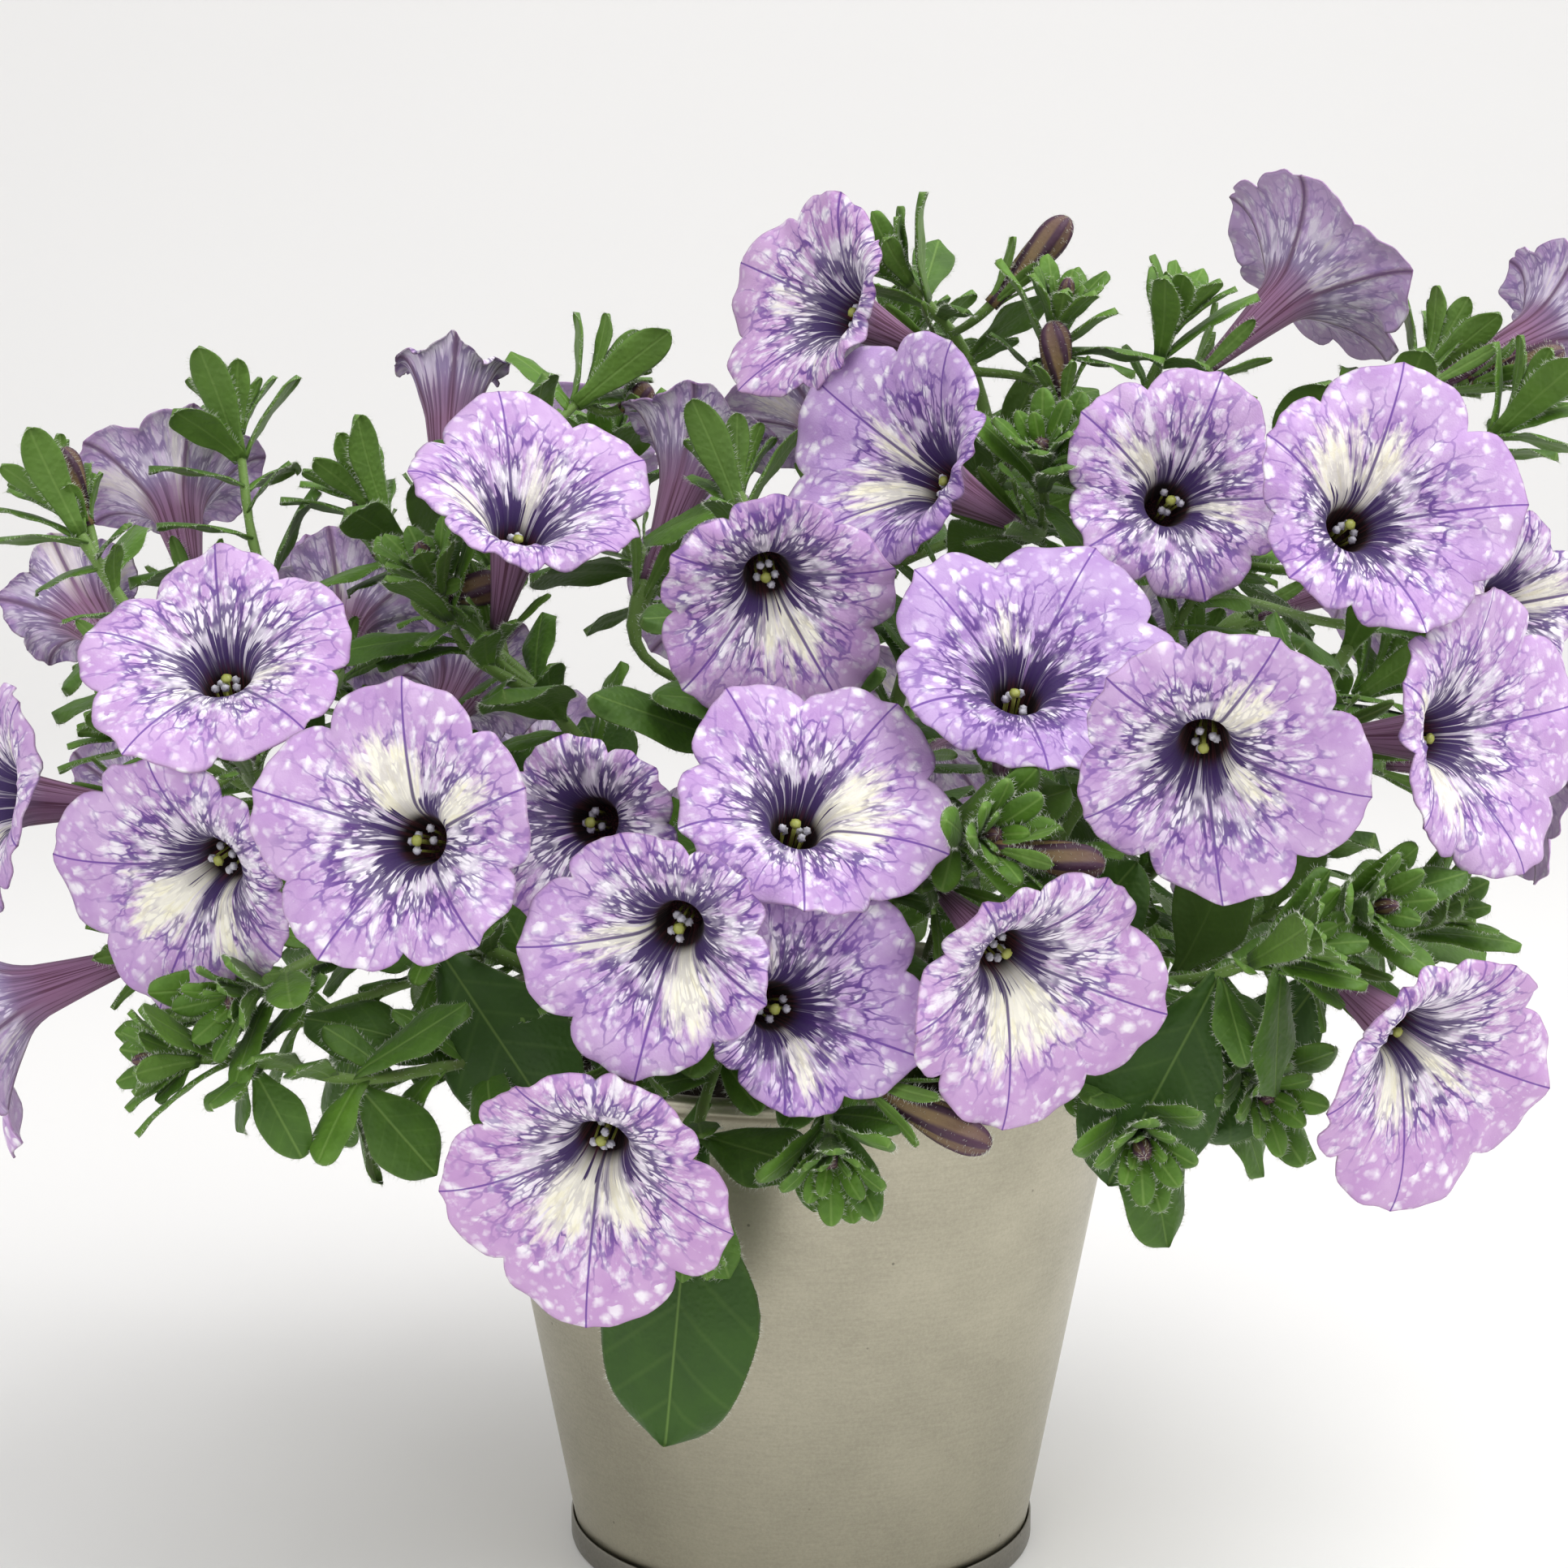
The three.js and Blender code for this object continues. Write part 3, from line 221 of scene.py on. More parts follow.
# The routes of the shoots. The first of a shoot rises from the compost, the others leave it on the way.
SHOOTS = {
    "front": [
        [(-6, -34, 115), (-10, -46, 130), (-15, -64, 146), (-20, -80, 152), (-36, -84, 158)],
        [(-10, -46, 130), (-17, -72, 134), (-22, -92, 122), (-24, -102, 112)],
        [(-10, -46, 130), (4, -62, 142), (14, -76, 158), (24, -88, 180), (34, -106, 187)],
        [(-1, -57, 138), (8, -80, 134), (5, -100, 130), (5, -109, 126)],
    ],
    "front_left": [
        [
            (-30, -30, 115), (-38, -38, 128), (-56, -52, 146), (-78, -66, 158), (-96, -80, 158),
            (-110, -97, 154),
        ],
        [
            (-38, -38, 128), (-56, -58, 132), (-76, -80, 133), (-92, -92, 134), (-112, -96, 139),
            (-122, -99, 140),
        ],
        [(-68, -60, 152), (-94, -56, 142), (-112, -58, 136), (-122, -62, 140)],
    ],
    "left": [
        [
            (-38, -6, 115), (-48, -10, 132), (-78, -22, 160), (-108, -34, 180), (-130, -34, 196),
            (-146, -30, 222), (-160, -22, 242),
        ],
        [(-60, -14, 144), (-80, -4, 178), (-108, -4, 204), (-122, 2, 228), (-128, 16, 256)],
        [(-60, -14, 144), (-94, -8, 160), (-126, -2, 178), (-148, -4, 190)],
    ],
    "upper_left": [
        [
            (-16, -12, 115), (-22, -14, 140), (-38, -18, 174), (-56, -20, 200), (-76, -10, 218),
            (-96, -4, 242),
        ],
        [(-56, -20, 200), (-72, -28, 212), (-78, -34, 226)],
        [(-66, -15, 209), (-70, 0, 226), (-62, 12, 250), (-48, 24, 266)],
    ],
    "upper": [
        [
            (4, -20, 115), (2, -26, 138), (-4, -38, 168), (-8, -44, 192), (-10, -34, 222),
            (-14, -16, 246),
        ],
        [(-1, -32, 153), (-8, -56, 166), (-10, -72, 164)],
    ],
    "top": [
        [
            (8, 2, 115), (10, 2, 145), (18, 4, 182), (28, 8, 216), (42, 12, 246), (38, 18, 272),
            (24, 14, 290),
        ],
        [(35, 10, 231), (50, 6, 256), (56, -2, 280)],
        [(35, 10, 231), (52, -8, 236), (52, -22, 252)],
    ],
    "front_right": [
        [(24, -26, 115), (30, -34, 132), (46, -50, 160), (58, -58, 184), (70, -62, 204)],
        [(30, -34, 132), (54, -58, 142), (70, -78, 150), (84, -92, 156), (95, -98, 162)],
        [(54, -58, 142), (80, -62, 148), (96, -66, 162), (112, -84, 168)],
        [(54, -58, 142), (66, -74, 130), (68, -92, 124)],
    ],
    "right": [
        [
            (38, -4, 115), (48, -8, 132), (78, -18, 162), (100, -26, 186), (118, -18, 208), (140, -4, 240),
            (158, 0, 262),
        ],
        [(63, -13, 147), (72, -26, 186), (80, -24, 214), (90, -22, 230)],
        [(63, -13, 147), (92, -40, 146), (114, -52, 150), (130, -60, 160)],
        [(63, -13, 147), (84, -48, 132), (94, -76, 128)],
    ],
    "upper_right": [
        [
            (26, 18, 115), (34, 20, 145), (50, 20, 184), (66, 16, 218), (66, 8, 244), (76, 4, 264),
            (82, 2, 280),
        ],
        [(66, 16, 218), (98, 18, 234), (126, 10, 250), (143, 20, 272)],
    ],
    "back_left": [
        [(-28, 26, 115), (-36, 34, 130), (-62, 50, 152), (-90, 56, 172), (-104, 60, 186)],
        [(-49, 42, 141), (-80, 50, 144), (-112, 50, 152), (-134, 62, 144)],
        [(-36, 34, 130), (-52, 60, 142), (-62, 84, 146), (-72, 98, 136)],
    ],
    "back": [
        [(-2, 36, 115), (-2, 46, 130), (0, 66, 152), (6, 84, 172), (10, 98, 196)],
        [(-1, 56, 141), (-12, 76, 142), (-14, 98, 130), (-8, 108, 112)],
        [(3, 75, 162), (22, 86, 152), (34, 100, 138)],
    ],
    "back_right": [
        [(30, 26, 115), (38, 34, 130), (62, 50, 154), (84, 56, 176), (96, 66, 196)],
        [(50, 42, 142), (84, 46, 156), (112, 46, 172), (138, 52, 194)],
        [(50, 42, 142), (74, 62, 142), (88, 78, 130)],
        [(84, 46, 156), (116, 36, 150), (140, 40, 140)],
    ],
    "back_top": [
        [(-8, 16, 115), (-10, 22, 145), (-6, 38, 184), (2, 48, 214), (20, 44, 246), (24, 50, 272)],
        [(-6, 38, 184), (-22, 52, 204), (-40, 58, 222), (-46, 60, 246)],
        [(2, 48, 214), (28, 52, 224), (50, 60, 232)],
    ],
}

# Leaves that stand out: the shoot, a point near which the leaf leaves it, the leaf's tip, and its width.
BROAD_LEAVES = [
    ("front", (-22, -92, 122), (-28, -98, 58), 35),
    ("front", (-22, -92, 122), (2, -113, 121), 16),
    ("front", (5, -100, 130), (-17, -119, 149), 10),
    ("front", (5, -100, 130), (14, -119, 113), 9),
    ("front_left", (-78, -66, 158), (-50, -80, 119), 29),
    ("front_left", (-92, -92, 134), (-68, -90, 149), 13),
    ("front_left", (-92, -92, 134), (-76, -86, 112), 15),
    ("front_left", (-92, -92, 134), (-89, -78, 108), 11),
    ("front_left", (-112, -96, 139), (-101, -101, 120), 11),
    ("front_left", (-112, -96, 139), (-115, -92, 123), 12),
    ("front_left", (-125, -98, 150), (-130, -102, 132), 7),
    ("front_left", (-112, -96, 139), (-96, -101, 158), 9),
    ("front_right", (84, -92, 156), (62, -92, 112), 30),
    ("front_right", (95, -98, 162), (95, -94, 131), 16),
    ("front_right", (84, -92, 156), (88, -104, 140), 11),
    ("front_right", (112, -84, 168), (136, -80, 174), 10),
    ("right", (114, -52, 150), (84, -72, 116), 24),
    ("right", (118, -18, 208), (106, -44, 216), 14),
    ("right", (100, -26, 186), (124, -44, 190), 14),
    ("left", (-122, 2, 228), (-148, -16, 226), 14),
    ("left", (-146, -30, 222), (-156, -50, 207), 12),
    ("left", (-153, -26, 232), (-144, -39, 241), 9),
    ("upper", (-8, -44, 192), (-44, -62, 208), 15),
    ("upper", (-10, -34, 222), (-34, -50, 222), 13),
    ("upper", (-8, -44, 192), (16, -64, 214), 13),
    ("top", (42, 12, 246), (54, 2, 274), 9),
    ("top", (52, -22, 252), (70, -25, 258), 9),
    ("upper_right", (126, 10, 250), (146, 6, 258), 10),
    ("back_left", (-62, 84, 146), (-56, 100, 106), 26),
    ("back", (-12, 76, 142), (-30, 96, 108), 22),
    ("back_right", (74, 62, 142), (66, 96, 108), 24),
    ("back_left", (-80, 50, 144), (-92, 58, 108), 22),
]

# Larger closed flower buds: base x, y, z, yaw, pitch, length, radius.
BUDS = [
    (-156, -20, 240, -90, 72, 18, 3.2),
    (-95, 0, 231, -90, 78, 16, 3.0),
    (-82, -30, 225, 90, 8, 19, 3.6),
    (-41, 30, 261, 90, 33, 9, 2.8),
    (43, 10, 286, 90, 48, 26, 3.6),
    (57, -10, 264, -90, 83, 20, 3.4),
    (38, -112, 186, 78, -7, 22, 3.6),
    (11, -114, 140, 80, -26, 30, 3.8),
    (152, 14, 268, 75, 20, 22, 3.2),
]


# ---- Small tools ----


def dice(seed):
    """The same draw every time: a Park-Miller generator."""
    state = seed
    while True:
        state = state * 16807 % 2147483647
        yield state / 2147483647


def unit(vector):
    return vector / np.linalg.norm(vector)


def direction(yaw, pitch):
    """The direction at a yaw, 0 to the front and 90 to the right, and a pitch up, in degrees."""
    yaw, pitch = math.radians(yaw), math.radians(pitch)
    flat = math.cos(pitch)
    return np.array([math.sin(yaw) * flat, -math.cos(yaw) * flat, math.sin(pitch)])


def across_frame(axis):
    """Two directions square to an axis; the first leans as far up as it can."""
    pole = np.array([0.0, -1.0, 0.0]) if abs(axis[2]) > 0.98 else np.array([0.0, 0.0, 1.0])
    rise = unit(pole - axis * (pole @ axis))
    return rise, np.cross(axis, rise)


def round_axis(foot, axes, height, distance, turn):
    """Points at a height along an axis, a distance from it and a turn round it, in radians."""
    axis, rise, side = axes
    height, distance, turn = np.broadcast_arrays(height, distance, turn)
    return (
        foot
        + height[..., None] * axis
        + (distance * np.cos(turn))[..., None] * rise
        + (distance * np.sin(turn))[..., None] * side
    )


def smoothstep(low, high, value):
    share = np.clip((value - low) / (high - low), 0, 1)
    return share * share * (3 - 2 * share)


def curve(route, steps):
    """A smooth curve through a route, with a number of steps for each span."""
    knots = np.array(route, float)
    knots = np.concatenate([[2 * knots[0] - knots[1]], knots, [2 * knots[-1] - knots[-2]]])
    points = []
    for a, b, c, d in zip(knots, knots[1:], knots[2:], knots[3:]):
        slope, bend, twist = c - a, 2 * a - 5 * b + 4 * c - d, 3 * b - a - 3 * c + d
        for t in np.arange(steps) / steps:
            points.append(0.5 * (2 * b + slope * t + bend * t**2 + twist * t**3))
    return np.array([*points, knots[-2]])


def wall_radius(height):
    """The radius of the wall's outside at a height."""
    rise = (height - SHEET - GAP) / (POT_HEIGHT - SHEET - GAP)
    return WALL_FOOT_RADIUS + (WALL_RIM_RADIUS - WALL_FOOT_RADIUS) * rise


# ---- Closed skins ----

BUD_KIND = 1  # the second material of a shoot's stems


class Surface:
    """Closed skins, in millimetres, that are gathered into one piece."""

    def __init__(self):
        self.points, self.faces, self.kinds, self.marks = [], [], [], {}
        self.count = 0

    def skin(self, rows, kind=0, loop=False, **marks):
        """A skin over closed rows of points. It ends in a fan at each end, or joins its own start.
        A mark holds three numbers for every point."""
        n, m = rows.shape[:2]
        j = np.arange(m)
        k = (j + 1) % m
        spans = np.arange(n if loop else n - 1)[:, None]
        here, there = spans * m, (spans + 1) % n * m
        quads = np.stack([here + j, here + k, there + k, there + j], axis=-1).reshape(-1, 4)
        grow = (lambda a: a.reshape(-1, 3)) if loop else self.with_poles
        points = grow(rows)
        faces = [quads[:, [0, 1, 2]], quads[:, [0, 2, 3]]]
        if not loop:
            start, end, last = np.full(m, n * m), np.full(m, n * m + 1), (n - 1) * m
            faces += [np.stack([start, k, j], axis=-1), np.stack([end, last + j, last + k], axis=-1)]
        triangles = np.concatenate(faces)
        corners = points[triangles]
        volume = np.einsum("ij,ij->", corners[:, 0], np.cross(corners[:, 1], corners[:, 2]))
        if volume < 0:
            triangles = triangles[:, ::-1]
        self.points.append(points)
        self.faces.append(triangles + self.count)
        self.kinds.append(np.full(len(triangles), kind))
        for name, mark in marks.items():
            self.marks.setdefault(name, []).append(grow(np.broadcast_to(mark, rows.shape)))
        self.count += len(points)

    @staticmethod
    def with_poles(rows):
        return np.concatenate([rows.reshape(-1, 3), rows[:1].mean(1), rows[-1:].mean(1)])

    def piece(self, name, materials, slot, replaced=(), chart=None):
        """The Blender object, riding on the pot, with each mark as an attribute."""
        mesh = bpy.data.meshes.new(name)
        points = np.concatenate(self.points) * MM
        triangles = np.concatenate(self.faces)
        mesh.vertices.add(len(points))
        mesh.vertices.foreach_set("co", points.ravel())
        mesh.loops.add(triangles.size)
        mesh.loops.foreach_set("vertex_index", triangles.ravel())
        mesh.polygons.add(len(triangles))
        mesh.polygons.foreach_set("loop_start", np.arange(len(triangles)) * 3)
        mesh.polygons.foreach_set("material_index", np.concatenate(self.kinds))
        mesh.update(calc_edges=True)
        mesh.shade_smooth()
        for mark, values in self.marks.items():
            attribute = mesh.attributes.new(mark, "FLOAT_VECTOR", "POINT")
            attribute.data.foreach_set("vector", np.concatenate(values).ravel())
        if chart is not None:
            flat = mesh.uv_layers.new(name="OFBake")
            flat.uv.foreach_set("vector", chart[triangles.ravel()].ravel())
        for material in materials:
            mesh.materials.append(material)
        obj = bpy.data.objects.new(name, mesh)
        bpy.context.scene.collection.objects.link(obj)
        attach(obj, "root")
        if replaced:
            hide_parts(*replaced)
        return obj


def rings_along(line, radii, sides):
    """Rings round a bent line, carried along it without twisting."""
    tangents = np.gradient(line, axis=0)
    tangents /= np.linalg.norm(tangents, axis=1, keepdims=True)
    rise = across_frame(tangents[0])[0]
    turn = 2 * np.pi * np.arange(sides) / sides
    rows = []
    for point, tangent, radius in zip(line, tangents, radii):
        rise = unit(rise - tangent * (rise @ tangent))
        side = np.cross(tangent, rise)
        rows.append(point + radius * (np.cos(turn)[:, None] * rise + np.sin(turn)[:, None] * side))
    return np.array(rows)


# ---- Blooms ----


class Bloom:
    """A trumpet of five lobes, about an axis through its throat."""

    def __init__(self, name, x, y, z, yaw, pitch, radius, cup, drift, toward, shoot):
        self.name, self.shoot = name, shoot
        self.radius, self.cup, self.drift, self.toward = radius, cup, drift, toward
        self.throat = np.array([x, y, z], float)
        self.axis = direction(yaw, pitch)
        self.rise, self.side = across_frame(self.axis)
        self.draw = dice(7919 * int(name))
        self.roll = LOBE * next(self.draw)
        self.phases = [360 * next(self.draw) for _ in range(7)]

    def point(self, height, distance, angle):
        """Points at a height along the axis, a distance from it and an angle round it, in degrees."""
        axes = (self.axis, self.rise, self.side)
        return round_axis(self.throat, axes, height, distance, np.radians(angle))

    def height(self, share):
        return self.cup * (1 - (1 - share) ** 2)

    def wave(self, count, phase, angle):
        return np.sin(np.radians(count * angle + self.phases[phase]))

    def ruffle(self, share, angle):
        """The waves that the solid has, and finer ones toward the edge."""
        lobes = np.cos(np.radians(LOBES * (angle - self.roll)))
        waves = 0.7 * lobes + 0.6 * self.wave(3, 0, angle) + 0.25 * self.wave(7, 1, angle)
        broad = RUFFLE * share**2 * waves
        fine = share**3 * (0.5 * self.wave(13, 2, angle) + 0.3 * self.wave(21, 3, angle))
        curl = 0.8 + 1.2 * np.maximum(0, self.wave(2, 6, angle))
        return broad + fine - curl * share**5

    def off_notch(self, angle):
        """Degrees from the nearest notch between two lobes; half a lobe at its middle."""
        return LOBE * np.abs((angle - self.roll) / LOBE % 1 - 0.5)

    def circle(self, angle):
        """How far a circle of the bloom's radius reaches from the throat, which stands off its middle."""
        turn = np.radians(angle - self.toward)
        return self.drift * np.cos(turn) + np.sqrt(self.radius**2 - (self.drift * np.sin(turn)) ** 2)

    def reach(self, angle):
        """How far the edge reaches: a full lobe with a small tooth at its midrib, notched beside it."""
        off_notch = self.off_notch(angle)
        edge = self.circle(angle) * (1 - NOTCH * np.exp(-off_notch / NOTCH_WIDTH))
        from_midrib = np.radians(LOBE / 2 - off_notch) * edge
        tooth = 0.9 * np.exp(-((from_midrib / 1.6) ** 2))
        nibbled = 0.2 * self.wave(17, 4, angle) + 0.12 * self.wave(31, 5, angle)
        return edge + tooth + nibbled

    def cream(self, angle, out):
        """How much cream the petals have: most along two patches that start at the throat."""
        amount, _, _, *sides = self.markings
        level = 0.12
        for side, strength, width in zip(sides, (1.0, 0.8), (27, 18)):
            off = (angle - side + 180) % 360 - 180
            level = level + strength * np.exp(-((off / width) ** 2))
        return amount * level * (1 - smoothstep(10, 28, out))

    @property
    def markings(self):
        """The bloom's row of MARKINGS, or the usual ones with patches in drawn places."""
        if self.name in MARKINGS:
            return MARKINGS[self.name]
        draw = dice(104729 * int(self.name))
        amount, violet, pink = USUAL_MARKINGS
        side = 360 * next(draw)
        return (amount + 0.5 * (next(draw) - 0.5), violet, pink, side, side + 60 + 120 * next(draw))

    def sheet(self, around, thickness):
        """Rows of points from the tube's end out to the edge, and back in over the front."""
        angles = self.roll + LOBE / 2 + 360 * np.arange(around) / around
        fit = np.polyfit(*zip(*TUBE_PROFILE), 2)
        depths = np.linspace(-TUBE_LENGTH, -1.2, 11)
        shares = np.linspace(0, 1, 23)[:, None]
        reach = self.reach(angles)
        tube = np.broadcast_to(np.polyval(fit, depths)[:, None], (len(depths), around))
        limb = THROAT_RADIUS + (reach - THROAT_RADIUS) * shares
        distance = np.concatenate([tube, limb])
        rise = self.height(shares) + self.ruffle(shares, angles)
        height = np.concatenate([np.broadcast_to(depths[:, None], tube.shape), rise])
        bend = slice(len(depths) - 2, len(depths) + 3)
        for _ in range(3):
            for place in (distance, height):
                place[1:-1][bend] = (place[:-2] + 2 * place[1:-1] + place[2:])[bend] / 4
        from_midrib = np.radians(LOBE / 2 - self.off_notch(angles)) * distance
        groove = 0.35 * np.exp(-((from_midrib / 0.9) ** 2)) * smoothstep(5, 12, distance)
        along = np.gradient(distance, axis=0)
        up = np.gradient(height, axis=0)
        length = np.hypot(along, up)
        lean, face = -up / length, along / length
        back = PETAL_LIFT - groove
        front = PETAL_LIFT + thickness - 0.7 * groove
        rim_distance, rim_height = distance[-1:] + 0.12, height[-1:] + PETAL_LIFT + thickness / 2
        deepest = 4  # the row at which the front ends, down in the tube
        inner_distance = (distance + lean * front)[:deepest:-1]
        inner_height = (height + face * front)[:deepest:-1]
        distances = np.concatenate([distance + lean * back, rim_distance, inner_distance])
        heights = np.concatenate([height + face * back, rim_height, inner_height])
        rows = self.point(heights, distances, angles)
        # How far out from the bottom of the tube a point is, and how far in from the edge.
        depth = np.where(height < 0, height, 0)
        out = np.where(height < 0.01, THROAT_RADIUS * (1 + 0.85 * depth / TUBE_LENGTH), distance)
        to_edge = np.maximum(reach - distance, 0)
        pick = lambda a: np.concatenate([a, a[-1:], a[:deepest:-1]])
        side = np.concatenate([np.ones(len(distance)), [0.5], np.zeros(len(distance) - deepest - 1)])
        turn = np.radians(angles - self.roll)
        _, violet, pink, *_ = self.markings
        seed = int(self.name) * 0.61803 % 1
        marks = {
            "round": (np.cos(turn), np.sin(turn), pick(out)),
            "petal": (side[:, None], pick(from_midrib), pick(to_edge)),
            "tone": (pick(self.cream(angles, out)), violet, seed),
            "blush": (pink, pink, pink),
        }
        marks = {
            name: np.stack([np.broadcast_to(value, rows.shape[:2]) for value in values], axis=-1)
            for name, values in marks.items()
        }
        return rows, marks, self.chart(distances, heights, turn, len(distance))

    @staticmethod
    def chart(distances, heights, turn, backs):
        """A flat map of the petals: the back as one disc and the front as another beside it."""
        steps = np.hypot(np.diff(distances, axis=0), np.diff(heights, axis=0)).mean(1)
        walked = np.concatenate([[0], np.cumsum(steps)])
        back = walked[: backs + 1] + 0.5
        front = walked[-1] - walked[backs + 1 :] + 0.5
        discs = []
        for share, middle in ((back / back.max(), 0.25), (front / back.max(), 0.75)):
            u = middle + 0.24 * share[:, None] * np.cos(turn)
            v = 0.5 + 0.48 * share[:, None] * np.sin(turn)
            discs.append(np.stack([u, v], axis=-1).reshape(-1, 2))
        return np.concatenate([*discs, [[0.25, 0.5], [0.75, 0.5]]])


blooms = [Bloom(*row) for row in BLOOMS]


def covered(points, margin):
    """Which points are in a bloom, within a margin, or stand right before its face."""
    found = np.zeros(len(points), bool)
    for bloom in blooms:
        away = points - bloom.throat
        height = away @ bloom.axis
        flat = away - height[:, None] * bloom.axis
        distance = np.linalg.norm(flat, axis=1)
        circle = bloom.circle(np.degrees(np.arctan2(flat @ bloom.side, flat @ bloom.rise)))
        tube = THROAT_RADIUS + (THROAT_RADIUS - CALYX_FOOT_RADIUS) * height / TUBE_LENGTH
        in_tube = (height < 0) & (height > -TUBE_LENGTH - CALYX_DEPTH) & (distance < tube + margin)
        before = (height >= 0) & (height < FACE_CLEAR) & (distance < 0.8 * circle)
        share = (distance - THROAT_RADIUS) / (circle - THROAT_RADIUS)
        edge = np.clip(share, 0, 1)
        near = np.abs(height - bloom.height(edge)) < margin + 1.2 * RUFFLE * edge**2
        found |= in_tube | before | ((share >= 0) & (distance <= circle + margin) & near)
    return found


# ---- Leaves ----


class Leaf:
    """A leaf or sepal: its foot, the way it points, the way its upper side faces, and its looks."""

    def __init__(self, root, along, face, length, width, droop, youth=0.0, is_spatulate=False, seed=0.0):
        self.root, self.along, self.face = root, along, face
        self.length, self.width, self.droop = length, width, droop
        self.youth, self.is_spatulate, self.seed = youth, is_spatulate, seed
        self.across = unit(np.cross(along, face))

    def point(self, share, side):
        """The point at a share of the leaf's length, from side -1 to side 1."""
        half = max(0.6, (self.width / 2) * math.sin(math.pi * share**0.85) ** 0.8) if share < 1 else 0
        bend = -self.droop * self.length * share * share
        return self.root + self.along * self.length * share + self.across * half * side + self.face * bend

    def samples(self):
        """Points over the leaf that tell whether it has room."""
        shares = [(share, side) for share in (0.25, 0.5, 0.75) for side in (-1, 0, 1)]
        return np.array([self.point(*place) for place in [*shares, (1, 0)]])

    def half_widths(self, shares):
        """The leaf's outline: a narrow foot, and a rounded end that is longer the broader the leaf is."""
        foot, broadest, roundness = (0.4, 0.68, 2.0) if self.is_spatulate else (0.14, 0.6, 1.65)
        blade = foot + (1 - foot) * smoothstep(0, broadest, shares)
        end = np.maximum(0, (shares - broadest) / (1 - broadest))
        return np.maximum(0.05, self.width / 2 * blade * np.sqrt(np.maximum(0, 1 - end**roundness)))

    def body(self, surface, hairs, rows, halves, thickness):
        """A thin closed blade: grooved along the midrib, arched between its veins, waved at its edge."""
        shares = 1 - (1 - np.linspace(0, 1, rows)) ** 1.7
        centre = (
            self.root
            + np.outer(shares, self.along) * self.length
            - np.outer(shares**2, self.face) * self.droop * self.length
        )
        tangent = self.along - np.outer(2 * self.droop * shares, self.face)
        tangent /= np.linalg.norm(tangent, axis=1, keepdims=True)
        normal = np.cross(self.across, tangent)
        side = np.sin(np.pi / 2 * np.linspace(-1, 1, 2 * halves + 1))
        half = self.half_widths(shares)
        grown = smoothstep(0, 0.2, shares)[:, None]
        arch = 0.075 * self.width * (1 - side**2) * grown
        groove = 0.05 * self.width * np.exp(-((side / 0.16) ** 2)) * grown
        wave = 0.035 * self.width * side**2 * np.sin(14 * shares[:, None] + 2.2 * side + 7 * self.seed)
        tip_curl = -0.04 * self.length * smoothstep(0.8, 1, shares)[:, None] * side**2
        lift = arch - groove + wave + tip_curl
        half_thick = thickness / 2 * (0.35 + 0.65 * np.sqrt(1 - side**2))
        stalk_thick = (1 - smoothstep(0, 0.25, shares))[:, None] * 0.35 * np.sqrt(1 - side**2)
        top, under = lift + half_thick, lift - half_thick - stalk_thick
        spread = np.concatenate([side, side[-2:0:-1]])
        height = np.concatenate([top, under[:, -2:0:-1]], axis=1)
        ring = centre[:, None] + (half[:, None] * spread)[..., None] * self.across
        ring = ring + height[..., None] * normal[:, None]
        along = np.broadcast_to((shares * self.length)[:, None], height.shape)
        out = np.abs(half[:, None] * spread)
        ribs = (along - 0.85 * out) / (self.length / 6.5)
        place = np.stack([half[:, None] - out, out, ribs], axis=-1)
        below = np.concatenate([np.zeros(len(side)), np.ones(len(side) - 2)])
        tone = np.stack(np.broadcast_arrays(self.youth, below, self.seed), axis=-1)
        surface.skin(ring, place=place, tone=tone)
        for edge, spot in ((-1, 0), (1, len(side) - 1)):
            hairs.fringe(ring[1:, spot], self.across * edge, normal[1:], tangent[1:])


def bud_body(surface, base, axis, length, radius, seed):
    """A closed flower bud: folded petals wound into a blunt club, with five ribs that twist a little."""
    shares = np.sin(np.pi / 2 * np.linspace(0, 1, 18))[:, None]
    turn = np.linspace(0, 2 * np.pi, 26)[:-1]
    blunt_end = np.sqrt(np.maximum(0, 1 - np.maximum(0, (shares - 0.72) / 0.28) ** 2.4))
    swell = (0.5 + 0.5 * smoothstep(0.05, 0.75, shares)) * blunt_end
    folds = np.cos(LOBES * (turn + 1.1 * shares))
    distance = radius * np.maximum(swell, 0.06) * (1 + 0.13 * folds * smoothstep(0, 0.3, shares))
    points = round_axis(base, (axis, *across_frame(axis)), shares * length, distance, turn)
    place = np.stack(np.broadcast_arrays(shares, folds, seed), axis=-1)
    surface.skin(points, BUD_KIND, place=place, tone=np.zeros(3))
    return points


# ---- Hairs ----


